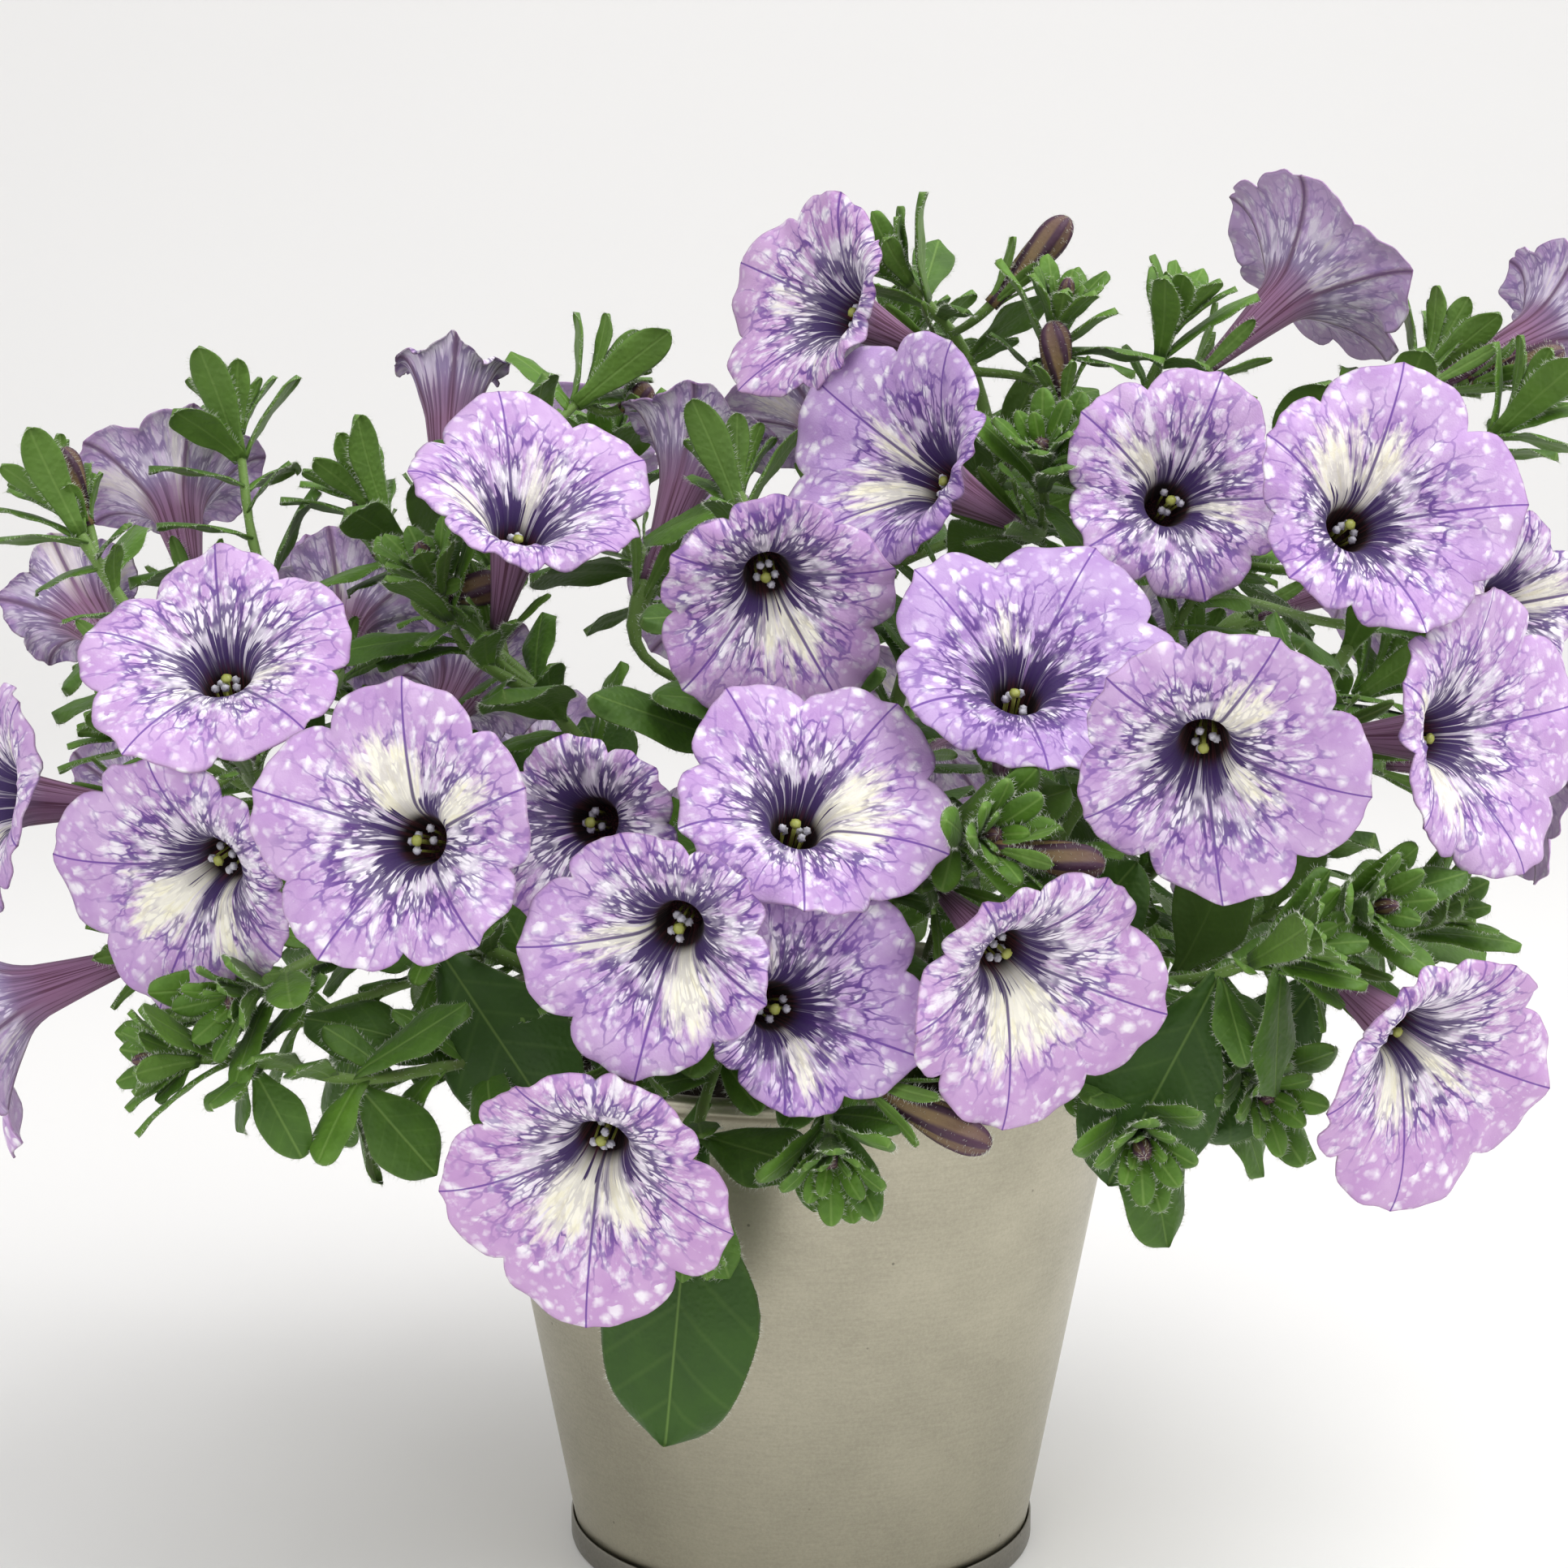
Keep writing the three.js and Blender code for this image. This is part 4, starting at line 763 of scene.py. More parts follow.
class Hairs:
    """Fine white hairs, each a slim spike of three faces on a closed foot."""

    def __init__(self, seed, sizes):
        self.random = np.random.default_rng(seed)
        self.length, self.thickness = sizes.hair_length / MM, sizes.hair_thickness / MM
        self.roots, self.aims = [], []

    def fringe(self, line, outward, normals, tangents):
        """Hairs along the edge of a leaf or sepal."""
        spans = np.linalg.norm(np.diff(line, axis=0), axis=1)
        walked = np.concatenate([[0], np.cumsum(spans)])
        count = int(walked[-1] * FRINGE_DENSITY)
        if count < 2:
            return
        at = self.random.uniform(0, walked[-1], count)
        roots, lift, ahead = (
            np.stack([np.interp(at, walked, values[:, i]) for i in range(3)], axis=-1)
            for values in (line, normals, tangents)
        )
        aims = outward + self.random.uniform(-1, 1, (count, 1)) * lift
        self.roots.append(roots)
        self.aims.append(aims + self.random.uniform(-0.5, 0.9, (count, 1)) * ahead)

    def coat(self, rows, density):
        """Hairs all over a stem, stalk or bud that is skinned over these rows."""
        middle = rows.mean(axis=1, keepdims=True)
        steps = np.linalg.norm(np.diff(middle[:, 0], axis=0), axis=1)
        girth = np.linalg.norm(rows - middle, axis=-1).mean() * 2 * np.pi
        count = int(steps.sum() * girth * density)
        span = self.random.integers(0, len(rows) - 1, count)
        spot = self.random.integers(0, rows.shape[1], count)
        share = self.random.random((count, 1))
        point = rows[span, spot] * (1 - share) + rows[span + 1, spot] * share
        core = middle[span, 0] * (1 - share) + middle[span + 1, 0] * share
        outward = point - core
        outward /= np.maximum(np.linalg.norm(outward, axis=1, keepdims=True), 1e-6)
        self.roots.append(point)
        self.aims.append(outward + self.random.uniform(-0.35, 0.35, (count, 3)))

    def piece(self, name, material):
        """All the hairs as one piece."""
        roots, aims = np.concatenate(self.roots), np.concatenate(self.aims)
        aims /= np.linalg.norm(aims, axis=1, keepdims=True)
        lengths = self.length * self.random.uniform(0.5, 1.15, (len(roots), 1))
        helper = np.where(np.abs(aims[:, 2:]) > 0.9, [[1.0, 0, 0]], [[0, 0, 1.0]])
        rise = np.cross(aims, helper)
        rise /= np.linalg.norm(rise, axis=1, keepdims=True)
        side = np.cross(aims, rise)
        sunk = roots - 0.15 * aims
        feet = [
            sunk + self.thickness / 2 * (math.cos(turn) * rise + math.sin(turn) * side)
            for turn in (0, math.tau / 3, 2 * math.tau / 3)
        ]
        surface = Surface()
        corners = np.stack([*feet, roots + lengths * aims], axis=1).reshape(-1, 3)
        spike = np.array([[0, 2, 1], [0, 1, 3], [1, 2, 3], [2, 0, 3]])
        faces = (np.arange(len(roots))[:, None, None] * 4 + spike).reshape(-1, 3)
        surface.points, surface.faces, surface.kinds = [corners], [faces], [np.zeros(len(faces), int)]
        return surface.piece(name, [material], "leaf")


# ---- How the shoots grow ----


class Crowd:
    """Points that new leaves keep clear of."""

    def __init__(self):
        self.points = np.empty((60000, 3))
        self.count = 0

    def add(self, points):
        points = np.reshape(points, (-1, 3))
        self.points[self.count : self.count + len(points)] = points
        self.count += len(points)

    def is_clear(self, points, margin):
        away = np.linalg.norm(self.points[: self.count, None] - points, axis=-1)
        return away.min() >= margin if self.count else True


crowd = Crowd()


def is_free(leaf, margin, clear):
    """Whether a leaf stays off the pot, the blooms and the leaves and stems that are there already."""
    points = leaf.samples()
    flat = np.hypot(points[:, 0], points[:, 1])
    in_pot = (points[:, 2] < POT_HEIGHT + RIM_CLEAR) & (flat < wall_radius(points[:, 2]) + POT_CLEAR)
    if in_pot.any() or covered(points, margin).any():
        return False
    return crowd.is_clear(points, clear)


def settled(tries, margin, clear):
    """The first of some leaves that has room, as a list, and none if all of them lack it."""
    for leaf in tries:
        if is_free(leaf, margin, clear):
            crowd.add(leaf.samples())
            return [leaf]
    return []


def leaf_at(root, tangent, turn, size, width, tilt, **looks):
    """A leaf that leaves a stem's point at a turn round it."""
    rise, side = across_frame(tangent)
    turn = math.radians(turn)
    from_pot = unit(np.array([root[0], root[1], 0]))
    outward = rise * math.cos(turn) + side * math.sin(turn)
    along = unit(0.85 * outward + 0.4 * tangent + 0.35 * from_pot)
    face = 0.55 * from_pot + np.array([0.5 * tilt - 0.25, 0, 1])
    face = unit(face - along * (face @ along))
    return Leaf(root, along, face, size, width * size, LEAF_DROOP, seed=tilt, **looks)


def broad_leaf(points, near, tip, width):
    """A broad leaf leaves a shoot's nearest point for a given tip, its face turned up and outward."""
    root = points[np.argmin(np.linalg.norm(points - near, axis=1))]
    length = np.linalg.norm(tip - root)
    along = (tip - root) / length
    face = 0.8 * unit(np.array([root[0], root[1], 0])) + [0, 0, 1]
    face = unit(face - along * (face @ along))
    return Leaf(root, along, face, length, width, 0, 0.4 if width < BROAD_LEAF_WIDTH else 0)


def walk(line, first, spacing, last):
    """Yields points, tangents and the share of the line walked, at even spacing along it."""
    steps = np.diff(line, axis=0)
    lengths = np.linalg.norm(steps, axis=1)
    total = lengths.sum()
    due, walked = first, 0.0
    for start, step, length in zip(line, steps, lengths):
        while due <= walked + length and due < total - last:
            yield start + step * (due - walked) / length, step / length, due / total
            due += spacing
        walked += length


def grow_leaves(line, draw, is_first):
    """The large leaves that the solid shoots have."""
    leaves = []
    turn = 360 * next(draw)
    first = 2.2 * LEAF_SPACING if is_first else LEAF_SPACING
    for root, tangent, share in walk(line, first, LEAF_SPACING, 4):
        size = (LEAF_LONGEST + (LEAF_SHORTEST - LEAF_LONGEST) * share) * (0.85 + 0.3 * next(draw))
        tilt = next(draw)
        # Where the first turn has no room, a smaller leaf is tried.
        sizes = [0.85 * size if off else size for off in LEAF_TRIES]
        tries = (
            leaf_at(root, tangent, turn + off, tried, LEAF_WIDTH, tilt, youth=share**2)
            for off, tried in zip(LEAF_TRIES, sizes)
        )
        leaves += settled(tries, BLOOM_CLEAR, LEAF_CLEAR)
        turn += LEAF_TURN
    return leaves


def grow_young_leaves(line, draw, spacing):
    """Small leaves between the large ones, too fine for the solid shoots."""
    leaves = []
    turn = 360 * next(draw)
    for root, tangent, _ in walk(line, 1.5 * spacing, spacing, 2):
        size = 12 + 12 * next(draw)
        tilt = next(draw)
        looks = {"youth": 0.35 + 0.5 * tilt, "is_spatulate": True}
        tries = (
            leaf_at(root, tangent, turn + off, size, YOUNG_LEAF_WIDTH, tilt, **looks) for off in LEAF_TRIES
        )
        leaves += settled(tries, YOUNG_BLOOM_CLEAR, YOUNG_LEAF_CLEAR)
        turn += LEAF_TURN
    return leaves


class Shoot:
    """A shoot: its lines as the solid has them, its smoother stems, its flower stalks and its leaves."""

    def __init__(self, name, routes, seed):
        self.name = f"shoot_{name}"
        self.seed = seed
        self.draw = dice(seed)
        foot = (routes[0][0][0], routes[0][0][1], STEM_FOOT)
        self.lines = [curve(route, 2) for route in routes]
        self.lines[0] = np.concatenate([[foot], self.lines[0]])
        self.stems = [curve(route, 6) for route in routes]
        self.stems[0] = np.concatenate([[foot], self.stems[0]])
        carried = [bloom for bloom in blooms if bloom.shoot == name]
        self.stalks = [(self.stalk_start(bloom), bloom) for bloom in carried]
        points = np.concatenate(self.lines)
        self.broad = [
            broad_leaf(points, np.array(near), np.array(tip), width)
            for owner, near, tip, width in BROAD_LEAVES
            if owner == name
        ]

    def stalk_start(self, bloom):
        """The point of the shoot from which a stalk of the usual length reaches the bloom from behind."""
        end = bloom.point(-TUBE_LENGTH - CALYX_DEPTH, 0, 0)
        points = np.concatenate([line[2:] for line in self.lines])
        back = end - points
        too_far_on = np.maximum(0, CALYX_DEPTH - back @ bloom.axis)
        cost = np.abs(np.linalg.norm(back, axis=1) - STALK_LENGTH) + 3 * too_far_on
        return points[np.argmin(cost)]

    @staticmethod
    def stalk_line(start, bloom, steps):
        """A flower stalk: it leaves the shoot, turns into the bloom's axis and ends in the calyx."""
        end = bloom.point(-TUBE_LENGTH - CALYX_DEPTH, 0, 0)
        span = np.linalg.norm(end - start)
        out_of = start + 0.3 * (end - start) + [0, 0, 0.1 * span]
        into = end - 0.4 * span * bloom.axis
        t = np.linspace(0, 1, steps + 1)[:, None]
        return (
            (1 - t) ** 3 * start + 3 * (1 - t) ** 2 * t * out_of + 3 * (1 - t) * t**2 * into + t**3 * end
        )

    def claim_space(self):
        """Keeps new leaves clear of what this shoot's solid has for certain."""
        for line in self.lines:
            crowd.add(line[3:])
        for leaf in self.broad:
            crowd.add(leaf.samples())
        for start, bloom in self.stalks:
            crowd.add(self.stalk_line(start, bloom, 2)[1:])

    def leaves(self):
        """The broad leaves and those of the rule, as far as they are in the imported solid."""
        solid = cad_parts[self.name].data.vertices
        tree = KDTree(len(solid))
        for i, vertex in enumerate(solid):
            tree.insert(vertex.co, i)
        tree.balance()
        grown = [leaf for i, line in enumerate(self.lines) for leaf in grow_leaves(line, self.draw, i == 0)]

        def is_in_solid(leaf):
            return tree.find(Vector(leaf.point(1, 0) * MM))[2] < 0.3 * MM

        return [leaf for leaf in [*self.broad, *grown] if is_in_solid(leaf)]


shoots = [Shoot(name, routes, 4021 + 331 * i) for i, (name, routes) in enumerate(SHOOTS.items())]


# ---- Materials ----


def new_material(name):
    """A node material, and a function that adds a node with its settings and links.
    Its inputs come in the order of the node's sockets, or by name as a dict. Each is a value, a socket
    or a node, whose first output is taken. A Mix node mixes colours."""
    material = bpy.data.materials.new(name)
    material.use_nodes = True
    tree = material.node_tree
    tree.nodes.clear()

    def add(kind, *inputs, **settings):
        node = tree.nodes.new(f"ShaderNode{kind}")
        if kind == "Mix":
            node.data_type = "RGBA"
        for setting, value in settings.items():
            setattr(node, setting, value)
        sockets = [socket for socket in node.inputs if socket.enabled]
        if inputs and isinstance(inputs[0], dict):
            sockets = [node.inputs[name] for name in inputs[0]]
            inputs = inputs[0].values()
        for socket, value in zip(sockets, inputs):
            if isinstance(value, bpy.types.Node):
                value = next(s for s in value.outputs if s.enabled)
            if isinstance(value, bpy.types.NodeSocket):
                tree.links.new(value, socket)
            elif socket.type == "RGBA" and len(value) == 3:
                socket.default_value = (*value, 1)
            else:
                socket.default_value = value
        return node

    return material, add


def stored(add, mark):
    """The three numbers that a mesh holds for each of its points under a mark's name."""
    return add("SeparateXYZ", add("Attribute", attribute_name=mark).outputs["Vector"]).outputs


def place_in_mm(add):
    """A point's place on the part in millimetres."""
    place = add("TexCoord").outputs["Object"]
    return add("VectorMath", place, (1000, 1000, 1000), operation="MULTIPLY")


# How close the veins and the net between them are: cells to a turn of one radian round the throat.
VEIN_SPREAD, NET_SPREAD = 5.5, 9


def petal_material(colours):
    """Living petunia petal: a thin, matt, slightly velvety tissue. Its sap is lilac, with white spots and
    cream patches where it has none, and violet veins that are darkest at the throat."""
    material, add = new_material("Petunia petal")
    round_mark = add("Attribute", attribute_name="round").outputs["Vector"]
    around_x, around_y, out = add("SeparateXYZ", round_mark).outputs
    is_back, from_midrib, to_edge = stored(add, "petal")
    cream_share, violet_share, seed = stored(add, "tone")
    shift = add("Math", seed, 37, operation="MULTIPLY")
    flat = [add("Math", turn, out, shift, operation="MULTIPLY_ADD") for turn in (around_x, around_y)]
    in_mm = add("CombineXYZ", *flat)
    shift = add("CombineXYZ", 0, 0, shift)
    # Coordinates on a cylinder, in which a pattern is long out along the petal and meets round it with
    # no seam. At a distance r from the throat's middle, one unit is r / spread mm round the bloom.
    along = {
        use: add("VectorMath", round_mark, (spread, spread, per_mm), shift, operation="MULTIPLY_ADD")
        for use, spread, per_mm in (
            ("feathers", 9, 0.11), ("mottle", 7, 0.16), ("star", 9, 0.1),
            ("veins", VEIN_SPREAD, 0.13), ("net", NET_SPREAD, 0.24),
        )
    }

    # Lilac ground: a cloudy mix of the full colour and a paler one, a cloud being about 9 mm wide.
    clouds = add("TexNoise", in_mm, 1 / 9, 3)
    clouded = add("MapRange", clouds, 0.38, 0.66)
    colour = add("Mix", clouded, colours.lilac, colours.pale_lilac)
    pinkness = add("Attribute", attribute_name="blush").outputs["Fac"]
    colour = add("Mix", pinkness, colour, colours.pink_lilac)
    violet = add("MapRange", violet_share, 0.6, 1, 0, 0.3)
    colour = add("Mix", violet, colour, colours.violet)

    # White mottling, long out along the petal: more than half of it near the throat, none near the edge.
    mottle = add("TexNoise", along["mottle"], 1, 4, 0.65)
    limit = add("MapRange", out, 9, 25, 0.36, 0.63)
    coloured = add("MapRange", violet_share, 0.4, 1, 0, 0.14)
    limit = add("Math", limit, coloured, operation="ADD")
    above = add("Math", mottle, limit, operation="SUBTRACT")
    mottled = add("MapRange", above, -0.05, 0.09, 0, 0.85)
    colour = add("Mix", mottled, colour, colours.speckle)

    # White spots with soft edges, 1 to 3 mm wide, of two sizes, that come in drifts.
    drift = add("TexNoise", in_mm, 1 / 8, 1)
    drifted = add("MapRange", drift, 0.32, 0.52, 0.35)
    wobble = add("TexNoise", in_mm, 1 / 1.6, 1).outputs["Color"]
    wobbly = add("VectorMath", wobble, (1.8, 1.8, 0), in_mm, operation="MULTIPLY_ADD")
    for spot_pitch, strength in ((3.9, 0.9), (2.3, 0.45)):
        spots = add("TexVoronoi", wobbly, 1 / spot_pitch, voronoi_dimensions="2D")
        chance = add("SeparateColor", spots.outputs["Color"])
        size = add("MapRange", chance, 0.3, 1, 0, 0.46)
        inside = add("Math", size, spots.outputs["Distance"], operation="SUBTRACT")
        soft = add("MapRange", inside, -0.06, 0.24, 0, strength)
        gated = add("Math", soft, drifted, operation="MULTIPLY")
        colour = add("Mix", gated, colour, colours.speckle)

    # Cream patches that start at the throat, with feathered sides and faint yellow lines.
    feathers = add("TexNoise", along["feathers"], 1, 3, 0.6)
    level = add("Math", feathers, 1.5, cream_share, operation="MULTIPLY_ADD")
    cream = add("MapRange", level, 1.12, 1.45)
    lines = add("MapRange", mottle, 0.5, 0.62, 0, 0.35)
    creamy = add("Mix", lines, colours.cream, colours.cream_line)
    colour = add("Mix", cream, colour, creamy)

    # Veins: the borders of long cells, which branch and join as veins do. The first are 0.4 mm wide, and
    # the second, a finer net in the inner half, 0.28 mm.
    patchy = add("TexNoise", in_mm, 1 / 6, 2)
    patches = add("MapRange", patchy, 0.4, 0.52, 0.25)
    web = None
    for use, spread, width, faded, strength in (
        ("veins", VEIN_SPREAD, 0.4, 30, 0.9), ("net", NET_SPREAD, 0.28, 23, 0.85)
    ):
        bent = add("TexNoise", along[use], 1.4, 2).outputs["Color"]
        bent = add("VectorMath", bent, (0.9, 0.9, 0.9), along[use], operation="MULTIPLY_ADD")
        cells = add("TexVoronoi", bent, 1, feature="DISTANCE_TO_EDGE")
        off = add("Math", cells, out, operation="MULTIPLY")
        apart = add("Math", off, 1 / spread, operation="MULTIPLY")
        drawn = add("MapRange", apart, 0.65 * width, 0.3 * width, 0, strength)
        fade = add("MapRange", out, faded, 0.55 * faded)
        drawn = add("Math", drawn, fade, operation="MULTIPLY")
        drawn = add("Math", drawn, patches, operation="MULTIPLY")
        web = add("Math", web, drawn, operation="MAXIMUM") if web else drawn
    spared = add("MapRange", cream, 0, 1, 1, 0.3)
    web = add("Math", web, spared, operation="MULTIPLY")

    # An indigo star round the throat: a dense ring that breaks up into thin streaks by about 14 mm.
    streaks = add("TexNoise", along["star"], 1, 2, 0.6)
    limit = add("MapRange", out, 7, 17.4, 0.45, 1.03)
    hunger = add("MapRange", violet_share, 0, 1, 0.04, -0.09)
    held_back = add("Math", cream, 0.16, hunger, operation="MULTIPLY_ADD")
    limit = add("Math", limit, held_back, operation="ADD")
    above = add("Math", streaks, limit, operation="SUBTRACT")
    star = add("MapRange", above, -0.01, 0.04, 0, 0.97)
    web = add("Math", web, star, operation="MAXIMUM")

    # One strong vein down the middle of each lobe.
    midrib_width = add("MapRange", out, 8, 27, 0.42, 0.2)
    beside = add("Math", from_midrib, midrib_width, operation="DIVIDE")
    midrib = add("MapRange", beside, 1.3, 0.6, 0, 0.88)
    web = add("Math", web, midrib, operation="MAXIMUM")
    outward = add("MapRange", out, 9, 20)
    vein_colour = add("Mix", outward, colours.flame, colours.vein)
    colour = add("Mix", web, colour, vein_colour)

    # The throat is nearly black, with a few dark red stripes.
    stripes = add("MapRange", streaks, 0.48, 0.6)
    dark = add("Mix", stripes, colours.throat, colours.throat_stripe)
    deep = add("MapRange", out, 6.6, 5.7)
    front = add("Mix", deep, colour, dark)

    # The back is paler, and is lightened further as a painted glow of light shining through the thin petal.
    # Its midribs are purple-brown, and the tube is striped a reddish brown.
    pale = add("Mix", 0.35, colour, colours.petal_back_and_glow)
    ribs = add("MapRange", from_midrib, 1.1, 0.3, 0, 0.6)
    ribbed = add("Mix", ribs, pale, colours.tube)
    tubed = add("MapRange", out, 9, 6, 0, 0.95)
    tube = add("Mix", stripes, colours.tube_stripe, colours.tube)
    back = add("Mix", tubed, ribbed, tube)
    colour = add("Mix", is_back, front, back)
    dry = add("MapRange", to_edge, 0.3, 0, 0, 0.35)
    colour = add("Mix", dry, colour, colours.tube)

    # Skin cells make a fine pebbled surface; the veins lie a little lower than the flesh between them.
    pebbles = add("TexNoise", in_mm, 2.2, 3)
    sunk = add("Math", web, -0.6, pebbles, operation="MULTIPLY_ADD")
    bump = add("Bump", {"Height": sunk, "Strength": 0.35, "Distance": 0.0003})
    shader = add(
        "BsdfPrincipled",
        {
            "Base Color": colour, "Roughness": 0.7, "IOR": 1.4, "Normal": bump,
            "Sheen Weight": 0.06, "Sheen Roughness": 0.5,
        },
    )
    add("OutputMaterial", {"Surface": shader})
    return material


def leaf_material(colours):
    """Petunia leaf: a soft, hairy blade, waxy enough for a broad low gloss, with sunken pale veins."""
    material, add = new_material("Petunia leaf")
    to_edge, from_midrib, ribs = stored(add, "place")
    young, below, seed = stored(add, "tone")
    in_mm = place_in_mm(add)
    youth = add("Math", seed, 0.25, young, operation="MULTIPLY_ADD", use_clamp=True)
    green = add("Mix", youth, colours.leaf, colours.young_leaf)
    # Mottled by light and age, in patches about 6 mm wide.
    mottle = add("TexNoise", in_mm, 1 / 6, 3)
    dappled = add("MapRange", mottle, 0.35, 0.7, 0, 0.4)
    green = add("Mix", dappled, green, colours.aged_and_shaded_leaf)
    # The midrib shows pale. Side veins leave it at a slant, about six to a side, and are faint.
    phase = add("Math", ribs, operation="FRACT")
    middle = add("Math", phase, 0.5, operation="SUBTRACT")
    off_vein = add("Math", middle, operation="ABSOLUTE")
    vein = add("MapRange", off_vein, 0.1, 0.02, 0, 0.07)
    midrib = add("MapRange", from_midrib, 0.4, 0.1, 0, 0.45)
    veins = add("Math", vein, midrib, operation="MAXIMUM")
    green = add("Mix", veins, green, colours.leaf_vein)
    # The edge is paler, where its hairs are dense, and so is the lower side.
    rim = add("MapRange", to_edge, 0.6, 0, 0, 0.35)
    green = add("Mix", rim, green, colours.leaf_under)
    under = add("Math", below, 0.4, operation="MULTIPLY")
    green = add("Mix", under, green, colours.leaf_under)
    # Flesh puffs up between the finest veins, a millimetre apart.
    quilt = add("TexVoronoi", in_mm, 0.9, feature="SMOOTH_F1")
    relief = add("Math", veins, 1.2, quilt, operation="MULTIPLY_ADD")
    bump = add("Bump", {"Height": relief, "Strength": 0.5, "Distance": 0.0004}, invert=True)
    shader = add(
        "BsdfPrincipled",
        {
            "Base Color": green, "Roughness": 0.58, "IOR": 1.42, "Normal": bump,
            "Sheen Weight": 0.08, "Sheen Roughness": 0.45,
        },
    )
    add("OutputMaterial", {"Surface": shader})
    return material


def stem_material(colours):
    """Petunia stem: a soft green stalk, flushed purple-brown where it is old, under a coat of hairs."""
    material, add = new_material("Petunia stem")
    age = stored(add, "tone")[0]
    in_mm = place_in_mm(add)
    # The flush comes and goes over about 10 mm.
    blotches = add("TexNoise", in_mm, 1 / 10, 3)
    flush = add("Math", blotches, age, operation="ADD")
    flushed = add("MapRange", flush, 0.75, 1.25)
    colour = add("Mix", flushed, colours.stem, colours.old_stem)
    grooves = add("TexNoise", in_mm, 1.2, 2)
    bump = add("Bump", {"Height": grooves, "Strength": 0.4, "Distance": 0.0003})
    shader = add(
        "BsdfPrincipled",
        {"Base Color": colour, "Roughness": 0.55, "IOR": 1.42, "Normal": bump, "Sheen Weight": 0.2}
    )
    add("OutputMaterial", {"Surface": shader})
    return material


def bud_material(colours):
    """Closed petunia bud: petals folded edge out, dark purple on their ribs and greenish between."""
    material, add = new_material("Petunia bud")
    share, fold, _ = stored(add, "place")
    rib = add("MapRange", fold, -0.3, 0.5)
    colour = add("Mix", rib, colours.bud_furrow, colours.bud)
    tip = add("MapRange", share, 0.55, 1, 0, 0.6)
    colour = add("Mix", tip, colour, colours.bud_tip)
    in_mm = place_in_mm(add)
    folds = add("TexNoise", in_mm, 0.9, 3)
    bump = add("Bump", {"Height": folds, "Strength": 0.5, "Distance": 0.0004})
    shader = add("BsdfPrincipled", {"Base Color": colour, "Roughness": 0.5, "IOR": 1.4, "Normal": bump})
    add("OutputMaterial", {"Surface": shader})
    return material


def plain_material(name, colour, roughness, grain_mm, contrast):
    """A small part of the plant with one colour, which varies a little from grain to grain."""
    material, add = new_material(name)
    in_mm = place_in_mm(add)
    grain = add("TexNoise", in_mm, 1 / grain_mm, 2)
    share = add("MapRange", grain, 0.3, 0.7, 0, contrast)
    darker = tuple(0.35 * c for c in colour)
    varied = add("Mix", share, colour, darker)
    bump = add("Bump", {"Height": grain, "Strength": 0.5, "Distance": 0.3 * grain_mm * MM})
    shader = add("BsdfPrincipled", {"Base Color": varied, "Roughness": roughness, "Normal": bump})
    add("OutputMaterial", {"Surface": shader})
    return material


def zinc_material(name, colour, roughness):
    """Zinc-coated steel sheet: rolled and lightly brushed round the pot, so the gloss is soft and grey,
    with a fine grain, faint marks round the wall and a few dark specks."""
    material, add = new_material(name)
    place = add("Attribute", attribute_name="place").outputs["Vector"]
    # Brush marks are 6 mm long and 0.6 mm high: place is a turn about the axis and a height in mm.
    brushed = add("VectorMath", place, (11.0, 11.0, 1.6), operation="MULTIPLY")
    marks = add("TexNoise", brushed, 1, 5, 0.7)
    in_mm = place_in_mm(add)
    grain = add("TexNoise", in_mm, 1.4, 4, 0.75)
    clouds = add("TexNoise", in_mm, 1 / 25, 4)
    mixed = add("Math", marks, 0.6, grain, operation="MULTIPLY_ADD")
    mixed = add("Math", clouds, 0.8, mixed, operation="MULTIPLY_ADD")
    dull = add("MapRange", mixed, 0.95, 1.5)
    darker = tuple(0.78 * c for c in colour)
    shade = add("Mix", dull, colour, darker)
    specks = add("TexVoronoi", in_mm, 1 / 9)
    speck = add("MapRange", specks, 0.05, 0.025, 0, 0.6)
    shade = add("Mix", speck, shade, (0.05, 0.05, 0.045))
    gloss = add("MapRange", mixed, 0.8, 1.6, roughness - 0.07, roughness + 0.1)
    bump = add("Bump", {"Height": marks, "Strength": 0.15, "Distance": 0.0001})
    shader = add(
        "BsdfPrincipled", {"Base Color": shade, "Metallic": 1.0, "Roughness": gloss, "Normal": bump}
    )
    add("OutputMaterial", {"Surface": shader})
    return material


def board_material(colours):
    """White painted board, rolled on in matt emulsion: no gloss, and a faint unevenness."""
    material, add = new_material("White painted board")
    spot = add("TexCoord").outputs["Object"]
    patches = add("TexNoise", spot, 3, 2)
    share = add("MapRange", patches, 0.3, 0.7, 0, 0.05)
    darker = tuple(0.8 * c for c in colours.board)
    shade = add("Mix", share, colours.board, darker)
    shader = add("BsdfPrincipled", {"Base Color": shade, "Roughness": 0.85, "Specular IOR Level": 0.2})
    add("OutputMaterial", {"Surface": shader})
    return material


# ---- Settings that a user would change ----


def colour_setting(label, described, hex_colour):
    return FloatVectorProperty(
        name=label, description=described, subtype="COLOR", size=3, min=0, max=1, default=linear(hex_colour)
    )


def length_setting(label, described, default, low, high):
    return FloatProperty(
        name=label, description=described, default=default, min=low, max=high,
        subtype="DISTANCE", unit="LENGTH",
    )


def power_setting(label, described, default):
    return FloatProperty(
        name=label, description=described, default=default, min=0, subtype="POWER", unit="POWER"
    )


